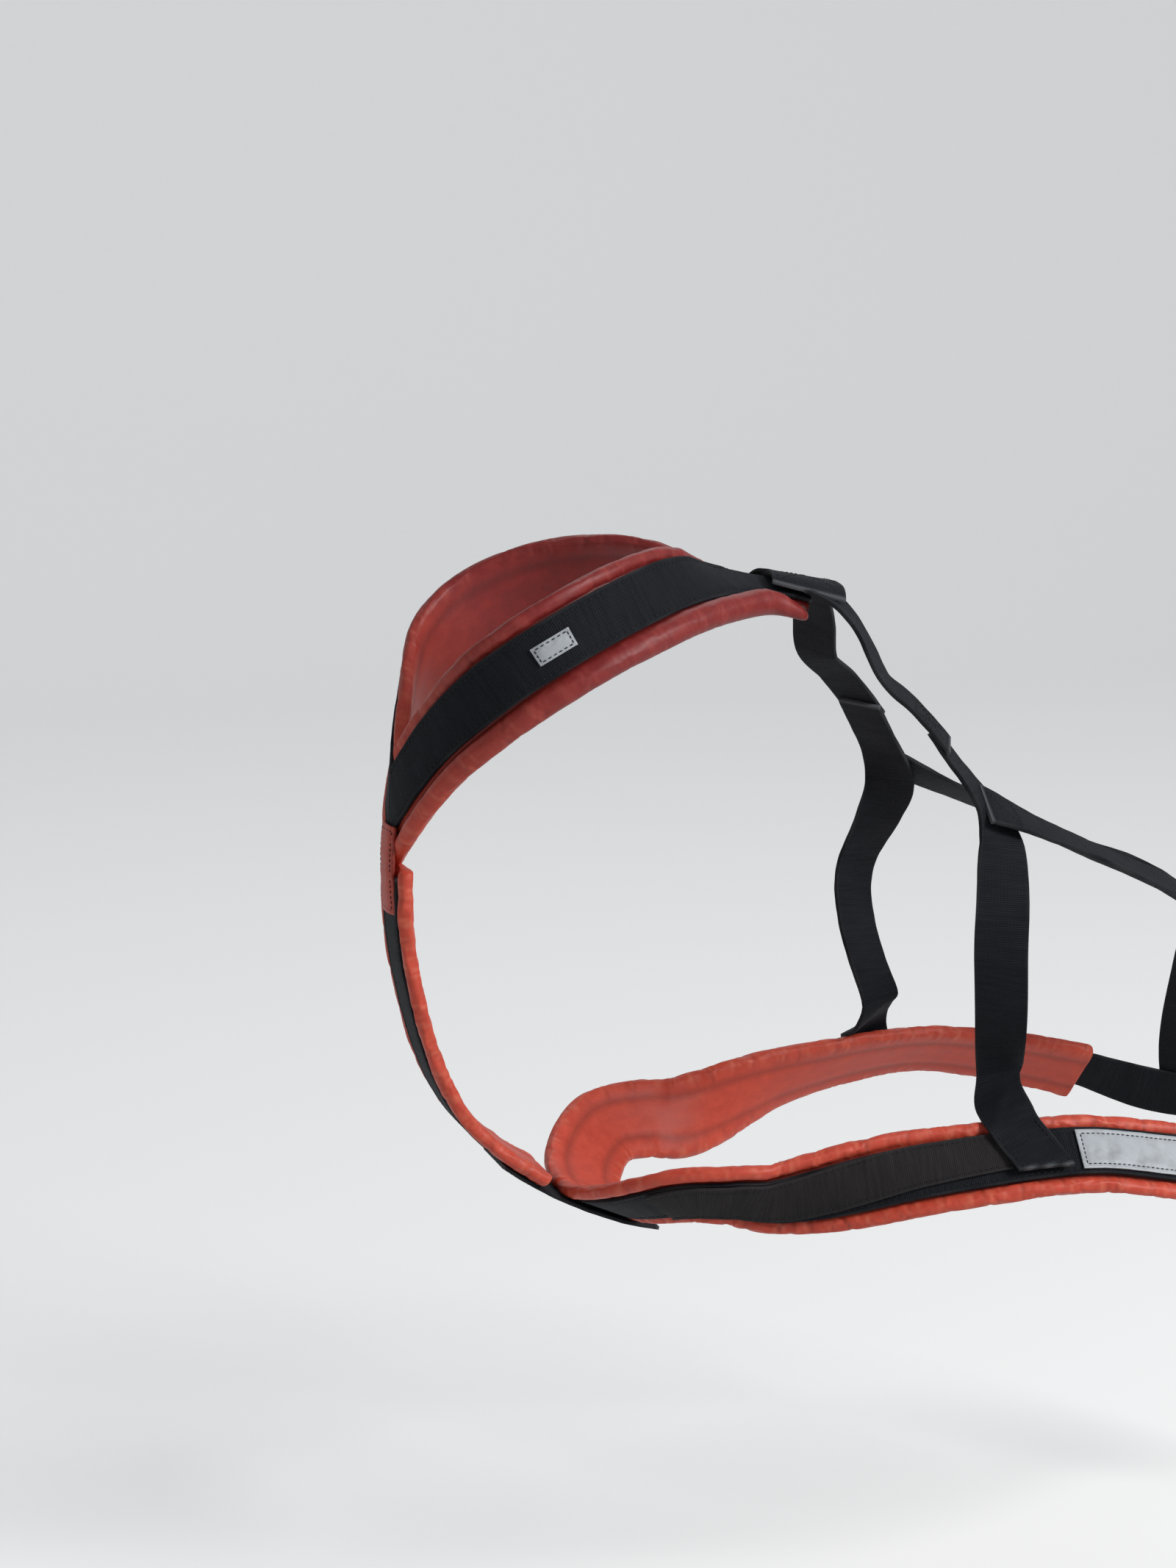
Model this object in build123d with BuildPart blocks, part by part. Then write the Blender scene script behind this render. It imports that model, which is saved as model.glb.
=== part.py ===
from build123d import *

import os
from collections import namedtuple
from math import cos, radians, sin

os.makedirs("parts", exist_ok=True)

# A pulling harness for a sled dog, in the shape it takes when its wearer sits.
# Millimetres. +X runs to the tail, -Y is the wearer's left side, +Z is up.
# The origin lies on the withers, where the harness hangs on its wearer.

# Webbing, and what is sewn from it
webbing_width = 25.0
webbing_thick = 2.0
cover_width = 19.0
cover_thick = 1.6
patch_thick = 1.8
sewn_gap = 0.4

# Padding: foam in a coated cloth cover, which bulges out as a roll on both sides of the webbing
foam_thick = 4.0
foam_rise = 1.0
neck_slack = 1.2
strap_bulge = 4.3
edge_roll = 3.7
edge_set = 4.2
neck_roll = 6.6
neck_set = 7.0
neck_thinning = 0.4
neck_tip_size = 0.5
foot_inset = 2.5

# Labels and patches
label_length = 84.0
label_width = 21.0
label_thick = 0.8
neck_label_length = 18.0
withers_patch_width = 36.0
brisket_patch_width = 34.0
tip_width = 22.0
tip_thick = 1.4
tip_rise = 1.5

# The steel D-ring at the tail, which the tow line is snapped to, and the webbing eye round its bar
wire_radius = 2.5
ring_side_gap = 2.0
ring_bend = 4.0
ring_leg = 8.0
ring_play = 0.6
eye_wall = 2.0
eye_leg = 34.0
eye_distance = 15.0
eye_slack = 0.6

# The coat that the harness lies on, as sections along the back: where the back is, where the
# breast or belly under it is, and half the width between them. Only the harness is built.
Section = namedtuple("Section", "station back_x back_z belly_x belly_z half_width")
WEARER = [
    Section(-130, -114, 44, -194, -36, 62),
    Section(-60, -59, 6, -209, -100, 72),
    Section(0, -4, -7, -207, -168, 82),
    Section(60, 46, -40, -180, -238, 92),
    Section(120, 96, -73, -110, -284, 98),
    Section(180, 142, -112, -20, -300, 102),
    Section(240, 186, -153, 60, -318, 102),
    Section(300, 226, -198, 130, -345, 98),
    Section(360, 260, -247, 190, -385, 92),
    Section(420, 288, -300, 235, -430, 80),
    Section(480, 308, -356, 262, -470, 62),
]
narrow_top = 0.1
coat_gap = 0.2
coat_probe = 1.0

# How far apart the bands and the pads are cut, in stops of the tables below
band_step = 0.25
pad_step = 0.5
label_step = 0.1

# Where things begin and end on the bands, by their station along the back
side_pad_end = 306
cover_start = 117.5
cover_end = 203
label_start = 225
upright_foot = 216
neck_label_start = -93

# A stop on the way of a band: the station along the back, the angle round the body from the
# back (0) over the side (90) to the belly (180), the height of the webbing's middle over the
# coat, and the degrees that the band is turned about its own run.
Stop = namedtuple("Stop", "station angle lift turn", defaults=(0, 0))
layer = webbing_thick + sewn_gap
on_coat = webbing_thick / 2 + coat_gap
on_foam = foam_rise + foam_thick + sewn_gap + webbing_thick / 2
on_neck = on_foam + neck_slack
on_patch = on_foam + (webbing_thick + patch_thick) / 2 + sewn_gap
on_withers = on_neck + layer + strap_bulge
under_withers = on_withers - (webbing_thick + patch_thick) / 2 - sewn_gap
on_tip = on_foam + (webbing_thick + tip_thick) / 2 + sewn_gap
on_cover = on_foam + webbing_thick / 2 + cover_thick + 2 * sewn_gap + webbing_thick / 2

# The fat roll of the neck pad, from the withers to the breast
NECK = [
    Stop(-12, 19, on_neck),
    Stop(-38, 19, on_neck),
    Stop(-66, 40, on_neck),
    Stop(-87, 72, on_neck),
    Stop(-96, 99, on_neck),
    Stop(-95, 122, on_neck),
    Stop(-84, 146, on_neck),
    Stop(-58, 170, on_neck),
    Stop(-45, 184, on_neck),
]
# The side band, padded from the brisket to the loin, and its webbing on to the tail
SIDE = [
    Stop(115, 179.6, on_foam),
    Stop(115, 163, on_foam),
    Stop(120, 147.5, on_foam, -1),
    Stop(133, 141.5, on_foam, -7),
    Stop(149, 139.5, on_foam, -26),
    Stop(182, 125, on_foam, -59),
    Stop(224, 109.5, on_foam, -60),
    Stop(262, 100.5, on_foam, -51),
    Stop(306, 89, on_foam, -33),
    Stop(342, 74, on_coat),
    Stop(377, 53, on_coat),
    Stop(411, 32, on_coat),
    Stop(445, 13, on_coat + layer),
    Stop(480, 2, on_coat + layer),
]
# The strap from the withers down the back
SHOULDER = [
    Stop(-12, 9, under_withers),
    Stop(10, 22, on_foam + layer, -23),
    Stop(30, 31.5, on_foam, -27),
    Stop(50, 33, on_coat + layer + 3, -27),
    Stop(76, 36, on_coat + layer + 2, -29),
]
# The upright from there down to the side band
UPRIGHT = [
    Stop(66, 33.1, on_coat - 1.5, -29),
    Stop(99, 41.5, on_coat, -30),
    Stop(117, 48, on_coat, -5.5),
    Stop(128, 56.5, on_coat, 12),
    Stop(147, 72.9, on_coat, 25.7),
    Stop(181.3, 97.5, on_cover - 38.4, 16.8),
    Stop(196.4, 105.6, on_cover - 18.1, -13.3),
    Stop(205.3, 109.5, on_cover - 4.8, -19.6),
    Stop(212.2, 112.3, on_cover + 9.4, -21),
]
# The rear strap, over the back and across to the side band's webbing on the other side
REAR = [
    Stop(104, 44.3, on_coat + layer + 2, -22),
    Stop(127, 40.6, on_coat, -32),
    Stop(160, 36, on_coat, -33),
    Stop(197, 28.3, on_coat, -22),
    Stop(228, 17, on_coat, -6),
    Stop(262, 0, on_coat),
    Stop(300, -28, on_coat),
    Stop(336, -55, on_coat + layer),
    Stop(362, -68, on_coat + layer),
]
# The straight way down the breast, from the neck pads to the brisket
CHEST = [
    Stop(-41, 180, on_foam),
    Stop(-8, 180, on_foam),
    Stop(25, 180, on_foam),
    Stop(58, 180, on_foam),
    Stop(91, 180, on_foam),
]
TIP = [
    Stop(-62, 180, on_tip + tip_rise),
    Stop(-50, 180, on_tip + tip_rise),
    Stop(-38, 180, on_tip + tip_rise / 2),
    Stop(-26, 180, on_tip),
]
BRISKET = [
    Stop(78, 180, on_patch),
    Stop(97, 180, on_patch),
    Stop(116, 180, on_patch),
    Stop(135, 180, on_patch),
]
WITHERS = [Stop(-16, 14, on_withers), Stop(-16, 7, on_withers), Stop(-16, 0, on_withers)]
# At the crossing the right rear strap goes over the left one, and at the tail the right
# webbing lies on the left one: the height that each gains, and over how many stops
crossing = 5
crossing_lift = layer + 0.8
crossing_reach = 1.6
tail_lift = layer + 0.4
tail_reach = 2
TAIL = [Stop(452, 0), Stop(480, 0), Stop(508, 0)]


def between(rows, place, column):
    """A column of a table at a place between its rows, on a smooth curve through them."""
    row = min(max(int(place), 0), len(rows) - 2)
    part = place - row
    start = getattr(rows[row], column)
    end = getattr(rows[row + 1], column)
    before = getattr(rows[row - 1], column) if row > 0 else 2 * start - end
    after = getattr(rows[row + 2], column) if row + 2 < len(rows) else 2 * end - start
    leave = (end - before) / 2
    arrive = (after - start) / 2
    square = part * part
    cube = square * part
    return (
        (2 * cube - 3 * square + 1) * start
        + (cube - 2 * square + part) * leave
        + (3 * square - 2 * cube) * end
        + (cube - square) * arrive
    )


def coat(station, angle):
    """The point of the coat at a station along the back and an angle round the body."""
    row = 0
    while row < len(WEARER) - 2 and station > WEARER[row + 1].station:
        row += 1
    first, second = WEARER[row].station, WEARER[row + 1].station
    place = row + (station - first) / (second - first)
    back = Vector(between(WEARER, place, "back_x"), 0, between(WEARER, place, "back_z"))
    belly = Vector(between(WEARER, place, "belly_x"), 0, between(WEARER, place, "belly_z"))
    half_width = between(WEARER, place, "half_width")
    turn = radians(angle)
    aside = half_width * sin(turn) * (1 - narrow_top * cos(turn))
    return (back + belly) * 0.5 + (back - belly) * (cos(turn) / 2) - Vector(0, aside, 0)


def outward(station, angle):
    """The direction straight off the coat there."""
    along = coat(station + coat_probe, angle) - coat(station - coat_probe, angle)
    around = coat(station, angle + coat_probe) - coat(station, angle - coat_probe)
    return around.cross(along).normalized()


def middle(stops, place, rise=0.0, flat=False):
    """A point on a band's middle line. A flat one stays on the coat."""
    station = between(stops, place, "station")
    angle = between(stops, place, "angle")
    lift = 0.0 if flat else between(stops, place, "lift")
    return coat(station, angle) + outward(station, angle) * (lift + rise)


def crosswise(stops, place, rise=0.0, flat=False, free=False):
    """The plane across a band: its x runs over the band's width, its y off the coat.
    A free band may leave the coat; the layers of any other share the planes of their coat line."""
    step = 0.04
    run = middle(stops, place + step, rise, not free) - middle(stops, place - step, rise, not free)
    run = run.normalized()
    station = between(stops, place, "station")
    angle = between(stops, place, "angle")
    turn = between(stops, place, "turn")
    lift = 0.0 if flat else between(stops, place, "lift")
    normal = outward(station, angle)
    lean = Axis((0, 0, 0), run)
    raised = (normal * (lift + rise)).rotate(lean, turn)
    across = normal.cross(run).normalized().rotate(lean, turn)
    return Plane(origin=coat(station, angle) + raised, x_dir=across, z_dir=run)


def places(first, last, step=band_step):
    """The places to cut a band at, evenly spaced from its one end to the other."""
    count = max(1, round((last - first) / step))
    return [first + (last - first) * number / count for number in range(count + 1)]


def at_station(stops, station):
    """The first place of a band that has reached a station."""
    place = 1.0
    way = 1 if stops[-1].station > stops[0].station else -1
    while (between(stops, place, "station") - station) * way < 0 and place < len(stops) - 1:
        place += 0.01
    return place


def further(stops, start, length):
    """The place that lies a length further along a band."""
    place = start
    step = 0.02
    done = 0.0
    while done < length and place < len(stops) - 1:
        done += (middle(stops, place + step) - middle(stops, place)).length
        place += step
    return place


def ramp(value):
    """The value, held between 0 and 1."""
    return min(1.0, max(0.0, value))


def finish(piece, name):
    """Label one sewn piece and write its file."""
    piece.part.label = name
    export_step(piece.part, f"parts/{name}.step")


left_half = Plane.XZ.offset(sewn_gap / 2)
neck_middle = -(neck_set + webbing_width / 2)
neck_inner = -(neck_set + webbing_width + edge_set)
neck_end = len(NECK) - 1
tail_end = len(SIDE) - 1
under_upright = crosswise(SIDE, at_station(SIDE, upright_foot))
foot_edge = under_upright.origin - under_upright.x_dir * (webbing_width / 2 - foot_inset)
band_foot = Plane(origin=foot_edge, z_dir=under_upright.x_dir)

for side in ("left", "right"):
    # The neck pad: a fat roll on the shoulder's side of the webbing, a thin one at the neck
    with BuildPart() as neck_pad:
        for place in places(0, neck_end, pad_step):
            tip = min(1.0, neck_tip_size + (1 - neck_tip_size) * place)
            outer = neck_roll * tip * (1 - neck_thinning * (place / neck_end) ** 2)
            with BuildSketch(crosswise(NECK, place, flat=True)):
                with Locations((neck_inner / 2, foam_rise + foam_thick / 2)):
                    Rectangle(-neck_inner, foam_thick)
                with Locations((0, outer)):
                    Circle(outer)
                with Locations((neck_inner, edge_roll)):
                    Circle(edge_roll)
        loft(ruled=True)
        split(bisect_by=left_half, keep=Keep.TOP)
        if side == "right":
            mirror(about=Plane.XZ, mode=Mode.REPLACE)
    finish(neck_pad, f"neck_pad_{side}")

    with BuildPart() as neck_webbing:
        for place in places(0, neck_end):
            with BuildSketch(crosswise(NECK, place)):
                with Locations((neck_middle, 0)):
                    Rectangle(webbing_width, webbing_thick)
        loft()
        split(bisect_by=left_half, keep=Keep.TOP)
        if side == "right":
            mirror(about=Plane.XZ, mode=Mode.REPLACE)
    finish(neck_webbing, f"neck_webbing_{side}")

    # The side band: pad, webbing on to the tail, and a second layer in front of the upright
    with BuildPart() as side_pad:
        for place in places(0, at_station(SIDE, side_pad_end), pad_step):
            with BuildSketch(crosswise(SIDE, place, flat=True)):
                with Locations((0, foam_rise + foam_thick / 2)):
                    Rectangle(webbing_width + 2 * edge_set, foam_thick)
                for edge in (-1, 1):
                    with Locations((edge * (webbing_width / 2 + edge_set), edge_roll)):
                        Circle(edge_roll)
        loft(ruled=True)
        if side == "right":
            mirror(about=Plane.XZ, mode=Mode.REPLACE)
    finish(side_pad, f"side_pad_{side}")

    with BuildPart() as side_webbing:
        for place in places(0, tail_end):
            over = ramp(place - tail_end + tail_reach) if side == "right" else 0
            with BuildSketch(crosswise(SIDE, place, tail_lift * over)):
                Rectangle(webbing_width, webbing_thick)
        loft()
        if side == "right":
            mirror(about=Plane.XZ, mode=Mode.REPLACE)
    finish(side_webbing, f"side_webbing_{side}")

    with BuildPart() as side_cover:
        rise = (webbing_thick + cover_thick) / 2 + sewn_gap
        for place in places(at_station(SIDE, cover_start), at_station(SIDE, cover_end)):
            with BuildSketch(crosswise(SIDE, place, rise)):
                with Locations(((webbing_width - cover_width) / 2, 0)):
                    Rectangle(cover_width, cover_thick)
        loft()
        if side == "right":
            mirror(about=Plane.XZ, mode=Mode.REPLACE)
    finish(side_cover, f"side_cover_{side}")

    # The straps over the back and down the sides
    with BuildPart() as shoulder_strap:
        for place in places(0, len(SHOULDER) - 1):
            with BuildSketch(crosswise(SHOULDER, place)):
                Rectangle(webbing_width, webbing_thick)
        loft()
        split(bisect_by=left_half, keep=Keep.TOP)
        if side == "right":
            mirror(about=Plane.XZ, mode=Mode.REPLACE)
    finish(shoulder_strap, f"shoulder_strap_{side}")

    with BuildPart() as upright:
        for place in places(0, len(UPRIGHT) - 1):
            with BuildSketch(crosswise(UPRIGHT, place, free=True)):
                Rectangle(webbing_width, webbing_thick)
        loft()
        split(bisect_by=band_foot, keep=Keep.TOP)
        if side == "right":
            mirror(about=Plane.XZ, mode=Mode.REPLACE)
    finish(upright, f"upright_{side}")

    with BuildPart() as rear_strap:
        for place in places(0, len(REAR) - 1):
            over = ramp(crossing_reach - abs(place - crossing)) if side == "right" else 0
            with BuildSketch(crosswise(REAR, place, crossing_lift * over)):
                Rectangle(webbing_width, webbing_thick)
        loft()
        if side == "right":
            mirror(about=Plane.XZ, mode=Mode.REPLACE)
    finish(rear_strap, f"rear_strap_{side}")

# The breast: a padded strap with its webbing, under a fold of cover cloth at the neck pads' tip
with BuildPart() as chest_pad:
    for place in places(0, len(CHEST) - 1, pad_step):
        with BuildSketch(crosswise(CHEST, place, flat=True)):
            with Locations((0, foam_rise + foam_thick / 2)):
                Rectangle(webbing_width + 2 * edge_set, foam_thick)
            for edge in (-1, 1):
                with Locations((edge * (webbing_width / 2 + edge_set), edge_roll)):
                    Circle(edge_roll)
    loft(ruled=True)
finish(chest_pad, "chest_pad")

with BuildPart() as chest_webbing:
    for place in places(0, len(CHEST) - 1):
        with BuildSketch(crosswise(CHEST, place)):
            Rectangle(webbing_width, webbing_thick)
    loft()
finish(chest_webbing, "chest_webbing")

with BuildPart() as chest_tip:
    for place in places(0, len(TIP) - 1):
        with BuildSketch(crosswise(TIP, place)):
            Rectangle(tip_width, tip_thick)
    loft()
finish(chest_tip, "chest_tip")

with BuildPart() as brisket_patch:
    for place in places(0, len(BRISKET) - 1):
        with BuildSketch(crosswise(BRISKET, place)):
            Rectangle(brisket_patch_width, patch_thick)
    loft()
finish(brisket_patch, "brisket_patch")

with BuildPart() as withers_patch:
    for place in places(0, len(WITHERS) - 1):
        with BuildSketch(crosswise(WITHERS, place)):
            Rectangle(withers_patch_width, patch_thick)
    loft()
    mirror(about=Plane.XZ)
finish(withers_patch, "withers_patch")

# The labels, on the left side only
with BuildPart() as side_label:
    start = at_station(SIDE, label_start)
    for place in places(start, further(SIDE, start, label_length)):
        with BuildSketch(crosswise(SIDE, place, (webbing_thick + label_thick) / 2 + sewn_gap)):
            Rectangle(label_width, label_thick)
    loft()
finish(side_label, "side_label")

with BuildPart() as neck_label:
    start = at_station(NECK, neck_label_start)
    for place in places(start, further(NECK, start, neck_label_length), label_step):
        with BuildSketch(crosswise(NECK, place, (webbing_thick + label_thick) / 2 + sewn_gap)):
            with Locations((neck_middle, 0)):
                Rectangle(neck_label_length / 2, label_thick)
    loft()
finish(neck_label, "neck_label")

# The tail: the two webbings end inside a folded eye of webbing, round the bar of the steel ring
tail = crosswise(TAIL, 1)
fold = Plane(origin=tail.origin, x_dir=tail.z_dir, z_dir=-tail.x_dir)
fold_low = coat_gap
fold_high = on_coat + layer + tail_lift + webbing_thick / 2 + sewn_gap + eye_wall + eye_slack
fold_height = fold_high - fold_low
fold_middle = (fold_high + fold_low) / 2
eye_radius = wire_radius + ring_play

with BuildPart() as tail_eye:
    with BuildSketch(fold):
        with Locations((eye_distance - eye_leg / 2, fold_middle)):
            Rectangle(eye_leg, fold_height)
        with Locations((eye_distance, fold_middle)):
            Circle(eye_radius + eye_wall)
        with Locations((eye_distance - eye_leg / 2, fold_middle)):
            Rectangle(eye_leg, fold_height - 2 * eye_wall, mode=Mode.SUBTRACT)
        with Locations((eye_distance, fold_middle)):
            Circle(eye_radius, mode=Mode.SUBTRACT)
    extrude(amount=webbing_width / 2, both=True)
finish(tail_eye, "tail_eye")

ring_top = fold.origin + fold.x_dir * eye_distance + fold.y_dir * fold_middle
ring_half = webbing_width / 2 + ring_side_gap + wire_radius
bar_half = ring_half - ring_bend
with BuildPart() as tow_ring:
    with BuildSketch(Plane(origin=ring_top, z_dir=(0, 1, 0))):
        Circle(wire_radius)
    extrude(amount=bar_half, both=True)
    for way in (-1, 1):
        with BuildSketch(Plane(origin=ring_top + Vector(0, way * bar_half, 0), z_dir=(0, way, 0))):
            Circle(wire_radius)
        revolve(
            axis=Axis(ring_top + Vector(0, way * bar_half, -ring_bend), (-way, 0, 0)),
            revolution_arc=90,
        )
        leg_start = ring_top + Vector(0, way * ring_half, -ring_bend)
        with BuildSketch(Plane(origin=leg_start, z_dir=(0, 0, -1))):
            Circle(wire_radius)
        extrude(amount=ring_leg - ring_bend)
    with BuildSketch(Plane(origin=ring_top + Vector(0, ring_half, -ring_leg), z_dir=(0, 0, -1))):
        Circle(wire_radius)
    revolve(axis=Axis(ring_top - Vector(0, 0, ring_leg), (-1, 0, 0)), revolution_arc=180)
finish(tow_ring, "tow_ring")
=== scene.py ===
# %% [markdown]
# A pulling harness for a sled dog, dressed for a picture. The real one is cut flat, from black
# webbing and red padded bands, sewn together flat, and takes its shape on its wearer. The
# pieces are made here in the same order: each is modelled flat on the origin in millimetres,
# and is then laid on the wearer's form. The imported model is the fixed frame, in metres, and
# every new piece stands for one of its solids.

from collections import namedtuple
from contextlib import contextmanager
from math import atan2, cos, hypot, pi, radians, sin

import bpy
import numpy as np
from mathutils import Matrix, Vector


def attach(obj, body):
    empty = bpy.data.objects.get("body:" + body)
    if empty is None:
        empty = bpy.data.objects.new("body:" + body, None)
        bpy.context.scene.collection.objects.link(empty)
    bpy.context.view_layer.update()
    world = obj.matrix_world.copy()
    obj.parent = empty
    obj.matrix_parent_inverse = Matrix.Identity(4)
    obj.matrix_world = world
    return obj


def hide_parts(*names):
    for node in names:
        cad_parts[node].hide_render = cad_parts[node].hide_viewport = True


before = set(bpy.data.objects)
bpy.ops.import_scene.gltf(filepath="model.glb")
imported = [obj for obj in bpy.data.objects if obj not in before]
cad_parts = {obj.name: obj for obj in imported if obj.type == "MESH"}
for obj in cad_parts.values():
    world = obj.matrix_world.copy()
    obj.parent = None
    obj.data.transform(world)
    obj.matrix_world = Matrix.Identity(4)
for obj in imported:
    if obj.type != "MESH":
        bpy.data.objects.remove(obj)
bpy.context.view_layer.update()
scene = bpy.context.scene
scene.view_settings.view_transform = "Standard"
SIDES = ("left", "right")
print("CAD nodes:", len(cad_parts))

# %% [markdown]
# The camera comes first, because all the rest is seen through it. It stands to the wearer's
# left, a little to the front and above, a metre and a half away with a long lens, which keeps
# the near and the far side nearly the same size. It is placed by a turn and a height as seen
# from the withers, and by the spot in the picture where the withers have to be.

# %% Camera
picture_width = 1600
picture_height = 2133
focal_pixels = 4620.0
film = 36.0
camera_turn = -17.0
camera_height = 10.0
camera_distance = 1.621
withers_spot = (1130.0, 815.0)


def direction(turn, height):
    """The way out to a place at a turn from the left side and at a height, both in degrees."""
    turn, height = radians(turn), radians(height)
    return Vector((sin(turn) * cos(height), -cos(turn) * cos(height), sin(height)))


back = direction(camera_turn, camera_height)
right = Vector((cos(radians(camera_turn)), sin(radians(camera_turn)), 0))
up = back.cross(right)
pixel = camera_distance / focal_pixels
aside = (withers_spot[0] - picture_width / 2) * pixel
above = (picture_height / 2 - withers_spot[1]) * pixel
lens = bpy.data.cameras.new("camera")
lens.sensor_width = film
lens.lens = focal_pixels * film / picture_height
lens.clip_start = 0.05
lens.clip_end = 60
camera = bpy.data.objects.new("camera", lens)
scene.collection.objects.link(camera)
facing = Matrix((right, up, back)).transposed().to_4x4()
camera_spot = back * camera_distance - right * aside - up * above
camera.matrix_world = Matrix.Translation(camera_spot) @ facing
scene.camera = camera
print("camera at", [round(value, 3) for value in camera_spot], "lens", round(lens.lens, 1))

# %% [markdown]
# The sewn sizes are those of the real thing, and of the solids: 25 mm webbing, 2 mm thick, on
# foam that bulges out beside it as a slim roll, and as a fat one on the shoulder's side of the
# neck loop. They are kept in millimetres, because that is how cloth is cut.

# %% Sewn sizes
mm = 0.001
webbing_width = 25.0
webbing_thick = 2.0
cover_width = 19.0
cover_thick = 1.6
patch_thick = 1.8
sewn_gap = 0.4
foam_thick = 4.0
foam_rise = 1.0
neck_slack = 1.2
strap_bulge = 4.3
edge_roll = 3.7
edge_set = 4.2
neck_roll = 6.6
neck_set = 7.0
neck_thinning = 0.4
neck_tip_size = 0.5
foot_inset = 2.5
label_length = 84.0
label_width = 21.0
label_thick = 0.8
neck_label_length = 18.0
withers_patch_width = 36.0
brisket_patch_width = 34.0
tip_width = 22.0
tip_thick = 1.4
tip_rise = 1.5
wire_radius = 2.5
ring_play = 0.6
eye_wall = 2.0
eye_leg = 34.0
eye_distance = 15.0
eye_slack = 0.6
coat_gap = 0.2
layer = webbing_thick + sewn_gap
neck_middle = -(neck_set + webbing_width / 2)
neck_inner = -(neck_set + webbing_width + edge_set)
print("one layer of webbing takes", layer, "mm; the neck webbing's middle is at", neck_middle, "mm")

# %% [markdown]
# The harness keeps the shape that it has on its sitting wearer, so the pieces need that form,
# though nothing of it is built. It is told as sections along the back: where the back is, where
# the breast or belly under it is, and half the width between them.

# %% The wearer's form
Section = namedtuple("Section", "station back_x back_z belly_x belly_z half_width")
WEARER = [
    Section(-130, -114, 44, -194, -36, 62),
    Section(-60, -59, 6, -209, -100, 72),
    Section(0, -4, -7, -207, -168, 82),
    Section(60, 46, -40, -180, -238, 92),
    Section(120, 96, -73, -110, -284, 98),
    Section(180, 142, -112, -20, -300, 102),
    Section(240, 186, -153, 60, -318, 102),
    Section(300, 226, -198, 130, -345, 98),
    Section(360, 260, -247, 190, -385, 92),
    Section(420, 288, -300, 235, -430, 80),
    Section(480, 308, -356, 262, -470, 62),
]
narrow_top = 0.1
coat_probe = 1.0
print("the form has", len(WEARER), "sections")

# %% [markdown]
# A band's way is a row of stops on that form: how far along the back, how far round the body
# from the back over the side to the belly, how high over the coat the webbing's middle is, and
# by how much the band is turned about its own run. They are the solids' own numbers.

# %% Stops of the neck loop and the side bands
Stop = namedtuple("Stop", "station angle lift turn", defaults=(0, 0))
on_coat = webbing_thick / 2 + coat_gap
on_foam = foam_rise + foam_thick + sewn_gap + webbing_thick / 2
on_neck = on_foam + neck_slack
on_patch = on_foam + (webbing_thick + patch_thick) / 2 + sewn_gap
on_withers = on_neck + layer + strap_bulge
under_withers = on_withers - (webbing_thick + patch_thick) / 2 - sewn_gap
on_tip = on_foam + (webbing_thick + tip_thick) / 2 + sewn_gap
on_cover = on_foam + webbing_thick / 2 + cover_thick + 2 * sewn_gap + webbing_thick / 2
NECK = [
    Stop(-12, 19, on_neck),
    Stop(-38, 19, on_neck),
    Stop(-66, 40, on_neck),
    Stop(-87, 72, on_neck),
    Stop(-96, 99, on_neck),
    Stop(-95, 122, on_neck),
    Stop(-84, 146, on_neck),
    Stop(-58, 170, on_neck),
    Stop(-45, 184, on_neck),
]
SIDE = [
    Stop(115, 179.6, on_foam),
    Stop(115, 163, on_foam),
    Stop(120, 147.5, on_foam, -1),
    Stop(133, 141.5, on_foam, -7),
    Stop(149, 139.5, on_foam, -26),
    Stop(182, 125, on_foam, -59),
    Stop(224, 109.5, on_foam, -60),
    Stop(262, 100.5, on_foam, -51),
    Stop(306, 89, on_foam, -33),
    Stop(342, 74, on_coat),
    Stop(377, 53, on_coat),
    Stop(411, 32, on_coat),
    Stop(445, 13, on_coat + layer),
    Stop(480, 2, on_coat + layer),
]
side_pad_end = 306
cover_start = 117.5
cover_end = 203
label_start = 225
upright_foot = 216
neck_label_start = -93
print("stops:", len(NECK), "on the neck loop,", len(SIDE), "on a side band")

# %% [markdown]
# The straps leave the withers down the back, part into the upright and the rear strap, and the
# two rear straps cross over the back. The breast strap and the small patches have short ways of
# their own. Where one webbing lies on another, a stop is a layer higher.

# %% Stops of the straps and the patches
SHOULDER = [
    Stop(-12, 9, under_withers),
    Stop(10, 22, on_foam + layer, -23),
    Stop(30, 31.5, on_foam, -27),
    Stop(50, 33, on_coat + layer + 3, -27),
    Stop(76, 36, on_coat + layer + 2, -29),
]
UPRIGHT = [
    Stop(66, 33.1, on_coat - 1.5, -29),
    Stop(99, 41.5, on_coat, -30),
    Stop(117, 48, on_coat, -5.5),
    Stop(128, 56.5, on_coat, 12),
    Stop(147, 72.9, on_coat, 25.7),
    Stop(181.3, 97.5, on_cover - 38.4, 16.8),
    Stop(196.4, 105.6, on_cover - 18.1, -13.3),
    Stop(205.3, 109.5, on_cover - 4.8, -19.6),
    Stop(212.2, 112.3, on_cover + 9.4, -21),
]
REAR = [
    Stop(104, 44.3, on_coat + layer + 2, -22),
    Stop(127, 40.6, on_coat, -32),
    Stop(160, 36, on_coat, -33),
    Stop(197, 28.3, on_coat, -22),
    Stop(228, 17, on_coat, -6),
    Stop(262, 0, on_coat),
    Stop(300, -28, on_coat),
    Stop(336, -55, on_coat + layer),
    Stop(362, -68, on_coat + layer),
]
CHEST = [
    Stop(-41, 180, on_foam),
    Stop(-8, 180, on_foam),
    Stop(25, 180, on_foam),
    Stop(58, 180, on_foam),
    Stop(91, 180, on_foam),
]
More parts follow.
